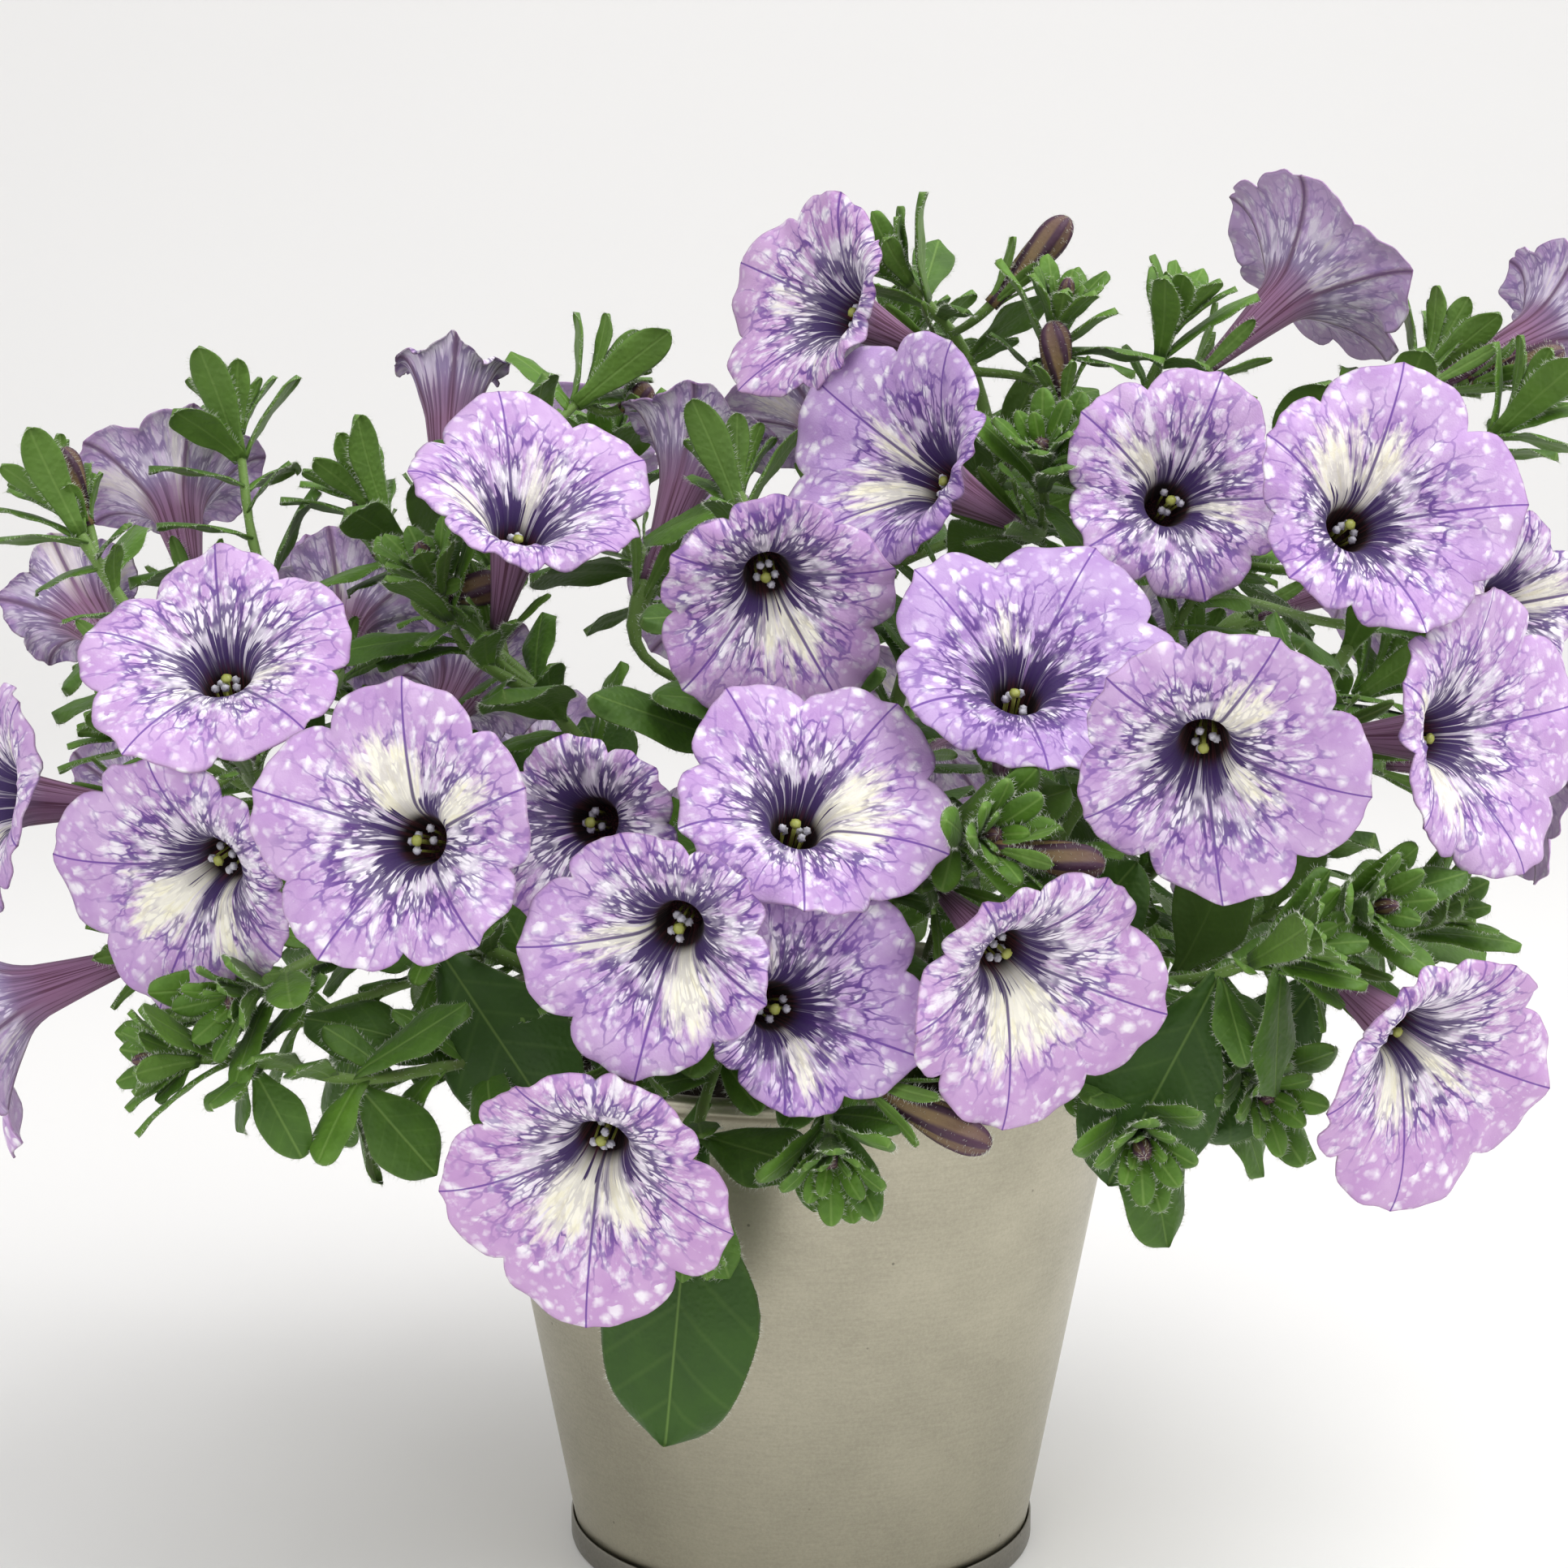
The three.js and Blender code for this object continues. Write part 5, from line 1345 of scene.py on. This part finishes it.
class PetuniaColours(bpy.types.PropertyGroup):
    lilac: colour_setting("Lilac", "Ground colour of the petals", "#B490C6")
    pale_lilac: colour_setting("Pale lilac", "Paler clouds in the petals", "#CBB0D7")
    pink_lilac: colour_setting("Pink lilac", "Flush of the pinker blooms", "#C598C7")
    violet: colour_setting("Violet", "Flush of the blooms with most veins", "#9B80BF")
    speckle: colour_setting("Spots", "White spots and mottling on the petals", "#F3EFF5")
    cream: colour_setting("Cream", "Patches that start at the throat", "#F6F3E4")
    cream_line: colour_setting("Cream lines", "Yellow lines in the cream patches", "#E3DCA6")
    flame: colour_setting("Star", "Indigo star round the throat", "#311158")
    vein: colour_setting("Veins", "Thin veins toward the edge", "#613394")
    throat: colour_setting("Throat", "Inside of the tube", "#1F0A14")
    throat_stripe: colour_setting("Throat stripes", "Red-brown stripes inside the tube", "#5C2A30")
    # Paler back of the petals, lightened further as a painted glow of light shining through them.
    petal_back_and_glow: colour_setting("Petal back", "Back of the petals", "#D0B8E6")
    tube: colour_setting("Tube", "Stripes outside the tube, and midribs behind the petals", "#5A3048")
    tube_stripe: colour_setting("Pale tube", "Outside of the tube between its stripes", "#8C6384")
    stigma: colour_setting("Stigma", "Sticky tip in the throat", "#9DA24C")
    anther: colour_setting("Anthers", "Pollen bags in the throat", "#CFCDD6")
    leaf: colour_setting("Leaf", "Upper side of a full-grown leaf", "#315410")
    # Darker patches of a leaf: older tissue, and painted dappled shade.
    aged_and_shaded_leaf: colour_setting("Old leaf", "Darker patches of a leaf", "#21400C")
    young_leaf: colour_setting("Young leaf", "Upper side of a young leaf", "#5A8424")
    leaf_vein: colour_setting("Leaf veins", "Midrib and side veins", "#7F9F4E")
    leaf_under: colour_setting("Leaf underside", "Lower side of a leaf", "#6A8840")
    stem: colour_setting("Stem", "Young stems and flower stalks", "#66853A")
    old_stem: colour_setting("Old stem", "Flush on older stems", "#4B3230")
    bud: colour_setting("Bud ribs", "Ribs of the closed buds", "#3B2232")
    bud_furrow: colour_setting("Bud furrows", "Between the ribs of the closed buds", "#7A6444")
    bud_tip: colour_setting("Bud tip", "Tip of the closed buds", "#57384F")
    hair: colour_setting("Hairs", "Fine hairs on stems and leaves", "#EAEFE0")
    zinc: colour_setting("Zinc", "Wall of the pot", "#B4AF9C")
    foot_zinc: colour_setting("Foot ring", "Darker zinc of the foot ring", "#8A877E")
    compost: colour_setting("Compost", "Damp peat in the pot", "#33241B")
    board: colour_setting("Board", "Floor and backdrop", "#F0EFEE")


class PetuniaSizes(bpy.types.PropertyGroup):
    petal_thickness: length_setting("Petal thickness", "Thickness of the petals", 0.0004, 0.0002, 0.001)
    petal_columns: IntProperty(
        name="Petal columns", description="Points round each bloom", default=140, min=40, max=240
    )
    leaf_thickness: length_setting("Leaf thickness", "Thickness of the leaves", 0.0005, 0.0003, 0.001)
    young_spacing: length_setting(
        "Young leaf spacing", "Distance between small leaves along a stem", 0.0065, 0.003, 0.03
    )
    hair_length: length_setting("Hair length", "Length of the hairs", 0.0013, 0.0005, 0.003)
    hair_thickness: length_setting("Hair thickness", "Width of a hair's root", 0.00008, 0.00003, 0.0003)


class PetuniaStage(bpy.types.PropertyGroup):
    key_power: power_setting("Key light", "Power of the large light overhead", 14)
    fill_power: power_setting("Fill light", "Power of the soft light at the front", 4)
    room_light: FloatProperty(
        name="Room light", description="Strength of the even white room", default=0.75, min=0
    )
    lens: FloatProperty(
        name="Lens", description="Focal length of the camera", default=81.2, min=10, max=300, unit="CAMERA"
    )
    camera_pitch: FloatProperty(
        name="Camera pitch", description="How far the camera looks down", default=math.radians(10.5),
        subtype="ANGLE", unit="ROTATION",
    )


# ---- Operators ----


class PETUNIA_OT_stage(bpy.types.Operator):
    """Lays the floor and backdrop and sets the lights and the camera"""

    bl_idname = "petunia.stage"
    bl_label = "Stage"

    def execute(self, context):
        settings = context.scene.petunia_stage
        self.sweep(context.scene.petunia_colours)
        self.light("Key", settings.key_power, KEY_SIZE, KEY_PLACE, KEY_AIM)
        self.light("Fill", settings.fill_power, FILL_SIZE, FILL_PLACE, FILL_AIM)
        world = bpy.data.worlds.new("White room")
        world.use_nodes = True
        background = world.node_tree.nodes["Background"]
        background.inputs["Color"].default_value = (1, 1, 1, 1)
        background.inputs["Strength"].default_value = settings.room_light
        context.scene.world = world
        context.scene.view_settings.view_transform = "Standard"
        camera = bpy.data.objects.new("Camera", bpy.data.cameras.new("Camera"))
        context.scene.collection.objects.link(camera)
        camera.data.lens = settings.lens
        camera.data.sensor_width = 36
        camera.data.clip_start = 0.01
        camera.location = CAMERA_PLACE
        camera.rotation_euler = (math.pi / 2 - settings.camera_pitch, 0, 0)
        context.scene.camera = camera
        return {"FINISHED"}

    @staticmethod
    def sweep(colours):
        """One board that curves up behind into the backdrop."""
        width, front, back, top, bend = 3.0, -2.5, 1.6, 2.2, 0.5
        turns = np.radians(np.linspace(0, 90, 13))
        profile = [(front, 0.0)]
        profile += [(back - bend + bend * math.sin(a), bend - bend * math.cos(a)) for a in turns]
        profile.append((back, top))
        points = [(x, y, z) for y, z in profile for x in (-width, width)]
        faces = [(2 * i, 2 * i + 1, 2 * i + 3, 2 * i + 2) for i in range(len(profile) - 1)]
        mesh = bpy.data.meshes.new("floor")
        mesh.from_pydata(points, [], faces)
        mesh.shade_smooth()
        mesh.materials.append(board_material(colours))
        floor = bpy.data.objects.new("floor", mesh)
        bpy.context.scene.collection.objects.link(floor)
        floor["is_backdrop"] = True

    @staticmethod
    def light(name, power, size, place, aim):
        data = bpy.data.lights.new(name, "AREA")
        data.energy, data.size = power, size
        lamp = bpy.data.objects.new(name, data)
        lamp.location = place
        lamp.rotation_euler = (Vector(aim) - Vector(place)).to_track_quat("-Z", "Y").to_euler()
        bpy.context.scene.collection.objects.link(lamp)


def turned(outline, around, bulge=None):
    """A closed outline of radius and height turned round the pot's axis, and the marks of its finish."""
    outline = np.array(outline, float)
    turn = around[None]
    radius = np.broadcast_to(outline[:, :1], (len(outline), len(around))).copy()
    if bulge is not None:
        radius += bulge(outline[:, 1:], turn)
    height = np.broadcast_to(outline[:, 1:], radius.shape)
    rows = np.stack([radius * np.cos(turn), radius * np.sin(turn), height], axis=-1)
    place = np.stack(np.broadcast_arrays(np.cos(turn), np.sin(turn), height), axis=-1)
    return rows, place


def rounded(outline, radius):
    """An outline with its corners rounded by a small radius."""
    corners = np.array(outline, float)
    points = []
    for before, corner, after in zip(np.roll(corners, 1, 0), corners, np.roll(corners, -1, 0)):
        into, out = before - corner, after - corner
        cut = min(radius, 0.45 * np.linalg.norm(into), 0.45 * np.linalg.norm(out))
        start, end = corner + unit(into) * cut, corner + unit(out) * cut
        for t in (0, 0.5, 1):
            points.append((1 - t) ** 2 * start + 2 * (1 - t) * t * corner + t**2 * end)
    return points


class PETUNIA_OT_pot(bpy.types.Operator):
    """Makes the zinc pot: a seamed wall with a rolled rim, and its base in a foot ring"""

    bl_idname = "petunia.pot"
    bl_label = "Pot"

    def execute(self, context):
        colours = context.scene.petunia_colours
        turns = np.linspace(0, 2 * np.pi, 145)[:-1]
        seam = math.pi / 2
        fold = SEAM_HALF_WIDTH / SEAM_RADIUS
        near_seam = seam + fold * np.array([-1.3, -1.0, -0.8, 0.8, 1.0, 1.3])
        around = np.sort(np.concatenate([turns[np.abs(turns - seam) > 1.5 * fold], near_seam]))
        bead_height = POT_HEIGHT - RIM_BEAD_RADIUS
        bead_centre = wall_radius(bead_height) + RIM_BEAD_RADIUS - SHEET
        low, high = SHEET + GAP, bead_height - 2 * RIM_BEAD_RADIUS
        outline = [(wall_radius(z), z) for z in np.linspace(low, high, 14)]
        for angle in np.radians(np.linspace(-80, 180, 12)):
            out, up = RIM_BEAD_RADIUS * math.cos(angle), RIM_BEAD_RADIUS * math.sin(angle)
            outline.append((bead_centre + out, bead_height + up))
        outline += [(wall_radius(z) - SHEET, z) for z in np.linspace(high, low, 8)]

        def seam_fold(height, turn):
            raised = 1 - smoothstep(fold * 0.85, fold * 1.15, np.abs(turn - seam))
            return SEAM_RISE * raised * smoothstep(FOOT_HEIGHT, FOOT_HEIGHT + 1, height)

        wall = Surface()
        rows, place = turned(outline, around, seam_fold)
        wall.skin(rows, loop=True, place=place)
        zinc = zinc_material("Zinc-coated sheet", colours.zinc, 0.36)
        wall.piece("pot_wall_rolled", [zinc], "zinc", ("pot_wall",))
        channel = WALL_FOOT_RADIUS - SHEET - GAP
        flange = FOOT_RADIUS - FOOT_FLANGE
        base_outline = [
            (0.02, BASE_RECESS),
            (flange - 1.5, BASE_RECESS),
            (flange, 0),
            (FOOT_RADIUS, 0),
            (FOOT_RADIUS, FOOT_HEIGHT),
            (WALL_FOOT_RADIUS + 2 * GAP + 0.5, FOOT_HEIGHT),
            (WALL_FOOT_RADIUS + GAP, SHEET),
            (channel, SHEET),
            (channel - 1, BASE_RECESS + SHEET),
            (0.02, BASE_RECESS + SHEET),
        ]
        base = Surface()
        rows, place = turned(rounded(base_outline, 0.8), turns)
        base.skin(rows, loop=True, place=place)
        foot = zinc_material("Dull zinc foot ring", colours.foot_zinc, 0.42)
        base.piece("pot_base_ring", [foot], "zinc", ("pot_base",))
        return {"FINISHED"}


class PETUNIA_OT_compost(bpy.types.Operator):
    """Fills the pot with crumbly compost"""

    bl_idname = "petunia.compost"
    bl_label = "Compost"

    def execute(self, context):
        colours = context.scene.petunia_colours
        random = np.random.default_rng(71)
        inside = wall_radius(SOIL_LEVEL) - SHEET - GAP - 0.5
        bottom = BASE_RECESS + SHEET + GAP
        around = np.linspace(0, 2 * np.pi, 97)[:-1]
        low = [(WALL_FOOT_RADIUS - SHEET - 3, bottom), (inside - 0.6, SOIL_LEVEL - 3)]
        rings = np.linspace(inside - 0.8, 1.5, 34)
        level = SOIL_LEVEL + SOIL_CROWN * (1 - (rings / inside) ** 2)
        rows, place = turned([*low, *zip(rings, level)], around)
        bumps = random.normal(0, 0.75, rows.shape[:2])
        bumps[:2] = 0
        bumps[2] *= 0.2
        rows[..., 2] += bumps
        soil = Surface()
        soil.skin(rows, place=place)
        for _ in range(CRUMBS):
            turn, out = random.uniform(0, 2 * np.pi), (inside - 4) * math.sqrt(random.random())
            size = random.uniform(0.7, 2.2)
            height = SOIL_LEVEL + 2.6 * (1 - (out / inside) ** 2)
            middle = np.array([out * math.cos(turn), out * math.sin(turn), height])
            crumb = np.array([
                [(r * math.cos(a), r * math.sin(a), z) for a in np.linspace(0, 2 * np.pi, 6)[:-1]]
                for r, z in ((0.5, -0.7), (1.0, -0.1), (0.6, 0.6))
            ])
            crumb = crumb * random.uniform(0.6, 1.2, (1, 1, 3)) + random.normal(0, 0.12, crumb.shape)
            soil.skin(middle + size * crumb, place=np.zeros(3))
        peat = plain_material("Damp peat compost", tuple(colours.compost), 0.95, 1.2, 0.8)
        soil.piece("compost_crumbs", [peat], "compost", ("compost",))
        return {"FINISHED"}


class PETUNIA_OT_blooms(bpy.types.Operator):
    """Makes the petals and tube of each bloom"""

    bl_idname = "petunia.blooms"
    bl_label = "Blooms"

    def execute(self, context):
        sizes = context.scene.petunia_sizes
        material = petal_material(context.scene.petunia_colours)
        for bloom in blooms:
            rows, marks, chart = bloom.sheet(sizes.petal_columns, sizes.petal_thickness / MM)
            surface = Surface()
            surface.skin(rows, **marks)
            surface.piece(f"petals_{bloom.name}", [material], "petal", (f"bloom_{bloom.name}",), chart)
        return {"FINISHED"}


def lump(middle, axis, length, radius, ripple):
    """A rounded lump along an axis, such as a pollen bag."""
    angle = np.linspace(0.12, math.pi - 0.12, 7)[:, None]
    turn = np.linspace(0, 2 * np.pi, 11)[:-1]
    distance = radius * np.sin(angle) * (1 + ripple * np.cos(3 * turn + 5 * angle))
    return round_axis(middle, (axis, *across_frame(axis)), -0.5 * length * np.cos(angle), distance, turn)


class PETUNIA_OT_stamens(bpy.types.Operator):
    """Sets the stigma and the five stamens in the throat of each bloom"""

    bl_idname = "petunia.stamens"
    bl_label = "Stamens"

    def execute(self, context):
        colours = context.scene.petunia_colours
        materials = [
            plain_material("Petunia pollen bag", tuple(colours.anther), 0.8, 0.5, 0.45),
            plain_material("Petunia stigma", tuple(colours.stigma), 0.35, 0.8, 0.2),
        ]
        surface = Surface()
        for bloom in blooms:
            draw = bloom.draw
            foot = bloom.point(-21, 0, 0)
            stigma = bloom.point(-2.4, 0.5, 360 * next(draw))
            style = np.linspace(foot, stigma, 5)
            surface.skin(rings_along(style, [0.45] * 5, 6), 1)
            surface.skin(lump(stigma, bloom.axis, 1.5, 1.15, 0.12), 1)
            for i in range(5):
                angle = LOBE * i + 70 * next(draw)
                tip = bloom.point(-3.4 - 3.4 * next(draw), 1.5 + 1.3 * next(draw), angle)
                bend = bloom.point(-12, 1.9, angle)
                thread = np.array([bloom.point(-20, 0.9, angle), bend, tip])
                surface.skin(rings_along(thread, [0.28] * 3, 5), 1)
                lean = bloom.axis + 1.4 * (next(draw) - 0.5) * bloom.side
                lean = unit(lean + 1.4 * (next(draw) - 0.5) * bloom.rise)
                surface.skin(lump(tip + 0.3 * bloom.axis, lean, 1.9, 0.8, 0.3))
        surface.piece("stamens", materials, "petal")
        return {"FINISHED"}


class PETUNIA_OT_shoots(bpy.types.Operator):
    """Grows the stems, flower stalks, calyces, leaves, buds and hairs of each shoot"""

    bl_idname = "petunia.shoots"
    bl_label = "Shoots"

    def execute(self, context):
        colours, sizes = context.scene.petunia_colours, context.scene.petunia_sizes
        leaf, stem, bud = leaf_material(colours), stem_material(colours), bud_material(colours)
        hair = plain_material("Petunia hair", tuple(colours.hair), 0.5, 2.0, 0.1)
        for shoot in shoots:
            shoot.claim_space()
        leaves = {shoot.name: shoot.leaves() for shoot in shoots}
        spacing = sizes.young_spacing / MM
        for shoot in shoots:
            young = dice(shoot.seed + 17)
            for line in shoot.stems:
                leaves[shoot.name] += grow_young_leaves(line, young, spacing)
        buds = self.share_out_buds()
        for shoot in shoots:
            hairs = Hairs(shoot.seed, sizes)
            stems, foliage = Surface(), Surface()
            self.stems(shoot, stems, foliage, hairs)
            for start, bloom in shoot.stalks:
                self.stalk(start, bloom, stems, foliage, hairs)
            for row in buds[shoot.name]:
                self.side_bud(shoot, row, stems, foliage, hairs)
            thickness = sizes.leaf_thickness / MM
            for blade in leaves[shoot.name]:
                rows, halves = (20, 5) if blade.length > LARGE_LEAF_LENGTH else (14, 3)
                blade.body(foliage, hairs, rows, halves, thickness)
            name = shoot.name.removeprefix("shoot_")
            stems.piece(f"stems_{name}", [stem, bud], "leaf", (shoot.name,))
            foliage.piece(f"leaves_{name}", [leaf], "leaf", (shoot.name,))
            hairs.piece(f"hairs_{name}", hair)
        return {"FINISHED"}

    @staticmethod
    def share_out_buds():
        """Each larger bud goes to the shoot with the nearest stem."""
        shared = {shoot.name: [] for shoot in shoots}
        for row in BUDS:

            def distance(shoot):
                return min(np.linalg.norm(line - row[:3], axis=1).min() for line in shoot.stems)

            shared[min(shoots, key=distance).name].append(row)
        return shared

    @staticmethod
    def tube(surface, line, radii, sides, age, hairs, density):
        """A round stem or stalk, and its coat of hairs."""
        rows = rings_along(line, radii, sides)
        age = np.broadcast_to(np.asarray(age, float).reshape(-1, 1), rows.shape[:2])
        tone = np.stack(np.broadcast_arrays(age, 0.0, 0.0), axis=-1)
        surface.skin(rows, place=np.zeros(3), tone=tone)
        hairs.coat(rows, density)

    def stems(self, shoot, stems, foliage, hairs):
        """A shoot's main stem and its twigs, each with a tuft at its end."""
        draw = dice(shoot.seed + 5)
        for i, line in enumerate(shoot.stems):
            share = np.linspace(0, 1, len(line))
            thick, thin = (2.2, 1.3) if i == 0 else (1.45, 1.05)
            radii = thick + (thin - thick) * share + 0.12 * np.sin(9 * np.arange(len(line)))
            age = (0.62 if i == 0 else 0.42) * (1 - share) ** 1.3
            self.tube(stems, line, radii, 9, age, hairs, 0.7 * COAT_DENSITY)
            self.tuft(line, draw, stems, foliage, hairs)

    def tuft(self, line, draw, stems, foliage, hairs):
        """Young leaves standing round a small bud at the end of a stem."""
        end = line[-1]
        axis = unit(line[-1] - line[-3])
        rise, side = across_frame(axis)
        for count, first, spread, tall, above in TIP_RINGS:
            for i in range(count):
                turn = math.radians(first + 360 * i / count + (12 * next(draw) if first else 0))
                outward = math.cos(turn) * rise + math.sin(turn) * side
                root = end + above * axis + 0.8 * outward
                tip = end + tall * axis + spread * outward
                length = np.linalg.norm(tip - root) * (1 if first == 0 else 0.9 + 0.3 * next(draw))
                along = unit(tip - root)
                face = unit(axis - along * (axis @ along)) if spread > 1 else -outward
                youth, width = 0.5 + 0.5 * next(draw), 0.32 * length + 0.5
                leaf = Leaf(root, along, face, length, width, 0.14, youth, True, next(draw))
                leaf.body(foliage, hairs, 13, 3, 0.9)
        rows = bud_body(stems, end, axis, 7 + 7 * next(draw), 1.5 + 0.5 * next(draw), next(draw))
        hairs.coat(rows, COAT_DENSITY)

    def stalk(self, start, bloom, stems, foliage, hairs):
        """A bloom's stalk, which swells into the cup of its calyx."""
        cup = [bloom.point(height, 0, 0) for height in (-33, -31, -29.2)]
        line = np.concatenate([Shoot.stalk_line(start, bloom, 14), cup])
        radii = np.concatenate([np.linspace(0.9, 1.15, 12), [1.4, 1.8, 2.2, 2.5, 2.6, 2.5]])
        self.tube(stems, line, radii, 9, 0.12, hairs, COAT_DENSITY)
        self.calyx(
            lambda turn: bloom.point(CALYX_FOOT, 1.7, turn),
            lambda turn: bloom.point(-TUBE_LENGTH - GAP + SEPAL_LENGTH, SEPAL_SPREAD, turn),
            bloom.axis, bloom.roll + LOBE / 2, bloom.draw, foliage, hairs,
        )

    @staticmethod
    def calyx(foot_at, tip_at, axis, first, draw, foliage, hairs):
        """Five sepals that stand round a tube or a bud and lean out at their tips."""
        for i in range(LOBES):
            turn = first + LOBE * i
            root, tip = foot_at(turn), tip_at(turn)
            along = unit(tip - root)
            face = unit(axis - along * (axis @ along))
            length = np.linalg.norm(tip - root)
            sepal = Leaf(root, along, face, length, 3.6, 0.06 + 0.1 * next(draw), 0.7, True, next(draw))
            sepal.body(foliage, hairs, 12, 3, 0.6)

    def side_bud(self, shoot, row, stems, foliage, hairs):
        """A larger closed bud on a stalk of its own."""
        x, y, z, yaw, pitch, length, radius = row
        base, axis = np.array([x, y, z], float), direction(yaw, pitch)
        points = np.concatenate([line[3:] for line in shoot.stems])
        start = points[np.argmin(np.abs(np.linalg.norm(points - base, axis=1) - 12))]
        span = np.linalg.norm(base - start)
        t = np.linspace(0, 1, 9)[:, None]
        line = (1 - t) ** 2 * start + 2 * (1 - t) * t * (base - 0.5 * span * axis) + t**2 * base
        self.tube(stems, line, np.linspace(0.9, 1.3, 9), 8, 0.1, hairs, COAT_DENSITY)
        draw = dice(int(1000 + abs(x) * 7 + abs(y)))
        rows = bud_body(stems, base - axis, axis, length, radius, next(draw))
        hairs.coat(rows, COAT_DENSITY)
        rise, side = across_frame(axis)

        def around(distance, height):
            def place(turn):
                turn = math.radians(turn)
                return base + height * axis + distance * (math.cos(turn) * rise + math.sin(turn) * side)

            return place

        foot_at, tip_at = around(1, 0), around(radius + 2.4, 0.55 * length)
        self.calyx(foot_at, tip_at, axis, LOBE * next(draw), draw, foliage, hairs)


# ---- The sidebar ----


class PETUNIA_PT_plant(bpy.types.Panel):
    bl_idname = "PETUNIA_PT_plant"
    bl_label = "Potted Petunia"
    bl_space_type = "VIEW_3D"
    bl_region_type = "UI"
    bl_category = "Petunia"

    def draw(self, context):
        for operator in OPERATORS:
            self.layout.operator(operator.bl_idname)
        for group in GROUPS:
            settings = getattr(context.scene, group)
            box = self.layout.box()
            for name in settings.bl_rna.properties.keys():
                if name not in ("rna_type", "name"):
                    box.prop(settings, name)


OPERATORS = (
    PETUNIA_OT_stage,
    PETUNIA_OT_pot,
    PETUNIA_OT_compost,
    PETUNIA_OT_blooms,
    PETUNIA_OT_stamens,
    PETUNIA_OT_shoots,
)
GROUPS = {
    "petunia_colours": PetuniaColours,
    "petunia_sizes": PetuniaSizes,
    "petunia_stage": PetuniaStage,
}


def register():
    for cls in (*GROUPS.values(), *OPERATORS, PETUNIA_PT_plant):
        bpy.utils.register_class(cls)
    for name, group in GROUPS.items():
        setattr(bpy.types.Scene, name, PointerProperty(type=group))


def unregister():
    for name in GROUPS:
        delattr(bpy.types.Scene, name)
    for cls in reversed((*GROUPS.values(), *OPERATORS, PETUNIA_PT_plant)):
        bpy.utils.unregister_class(cls)


def main():
    register()
    bpy.ops.petunia.stage()
    bpy.ops.petunia.pot()
    bpy.ops.petunia.compost()
    bpy.ops.petunia.blooms()
    bpy.ops.petunia.stamens()
    bpy.ops.petunia.shoots()
    bpy.context.view_layer.update()
    boxes = {"cad": CAD_BOX, "visual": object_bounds()}
    {name: [list(corner) for corner in box] for name, box in boxes.items()}


if __name__ == "__main__":
    main()
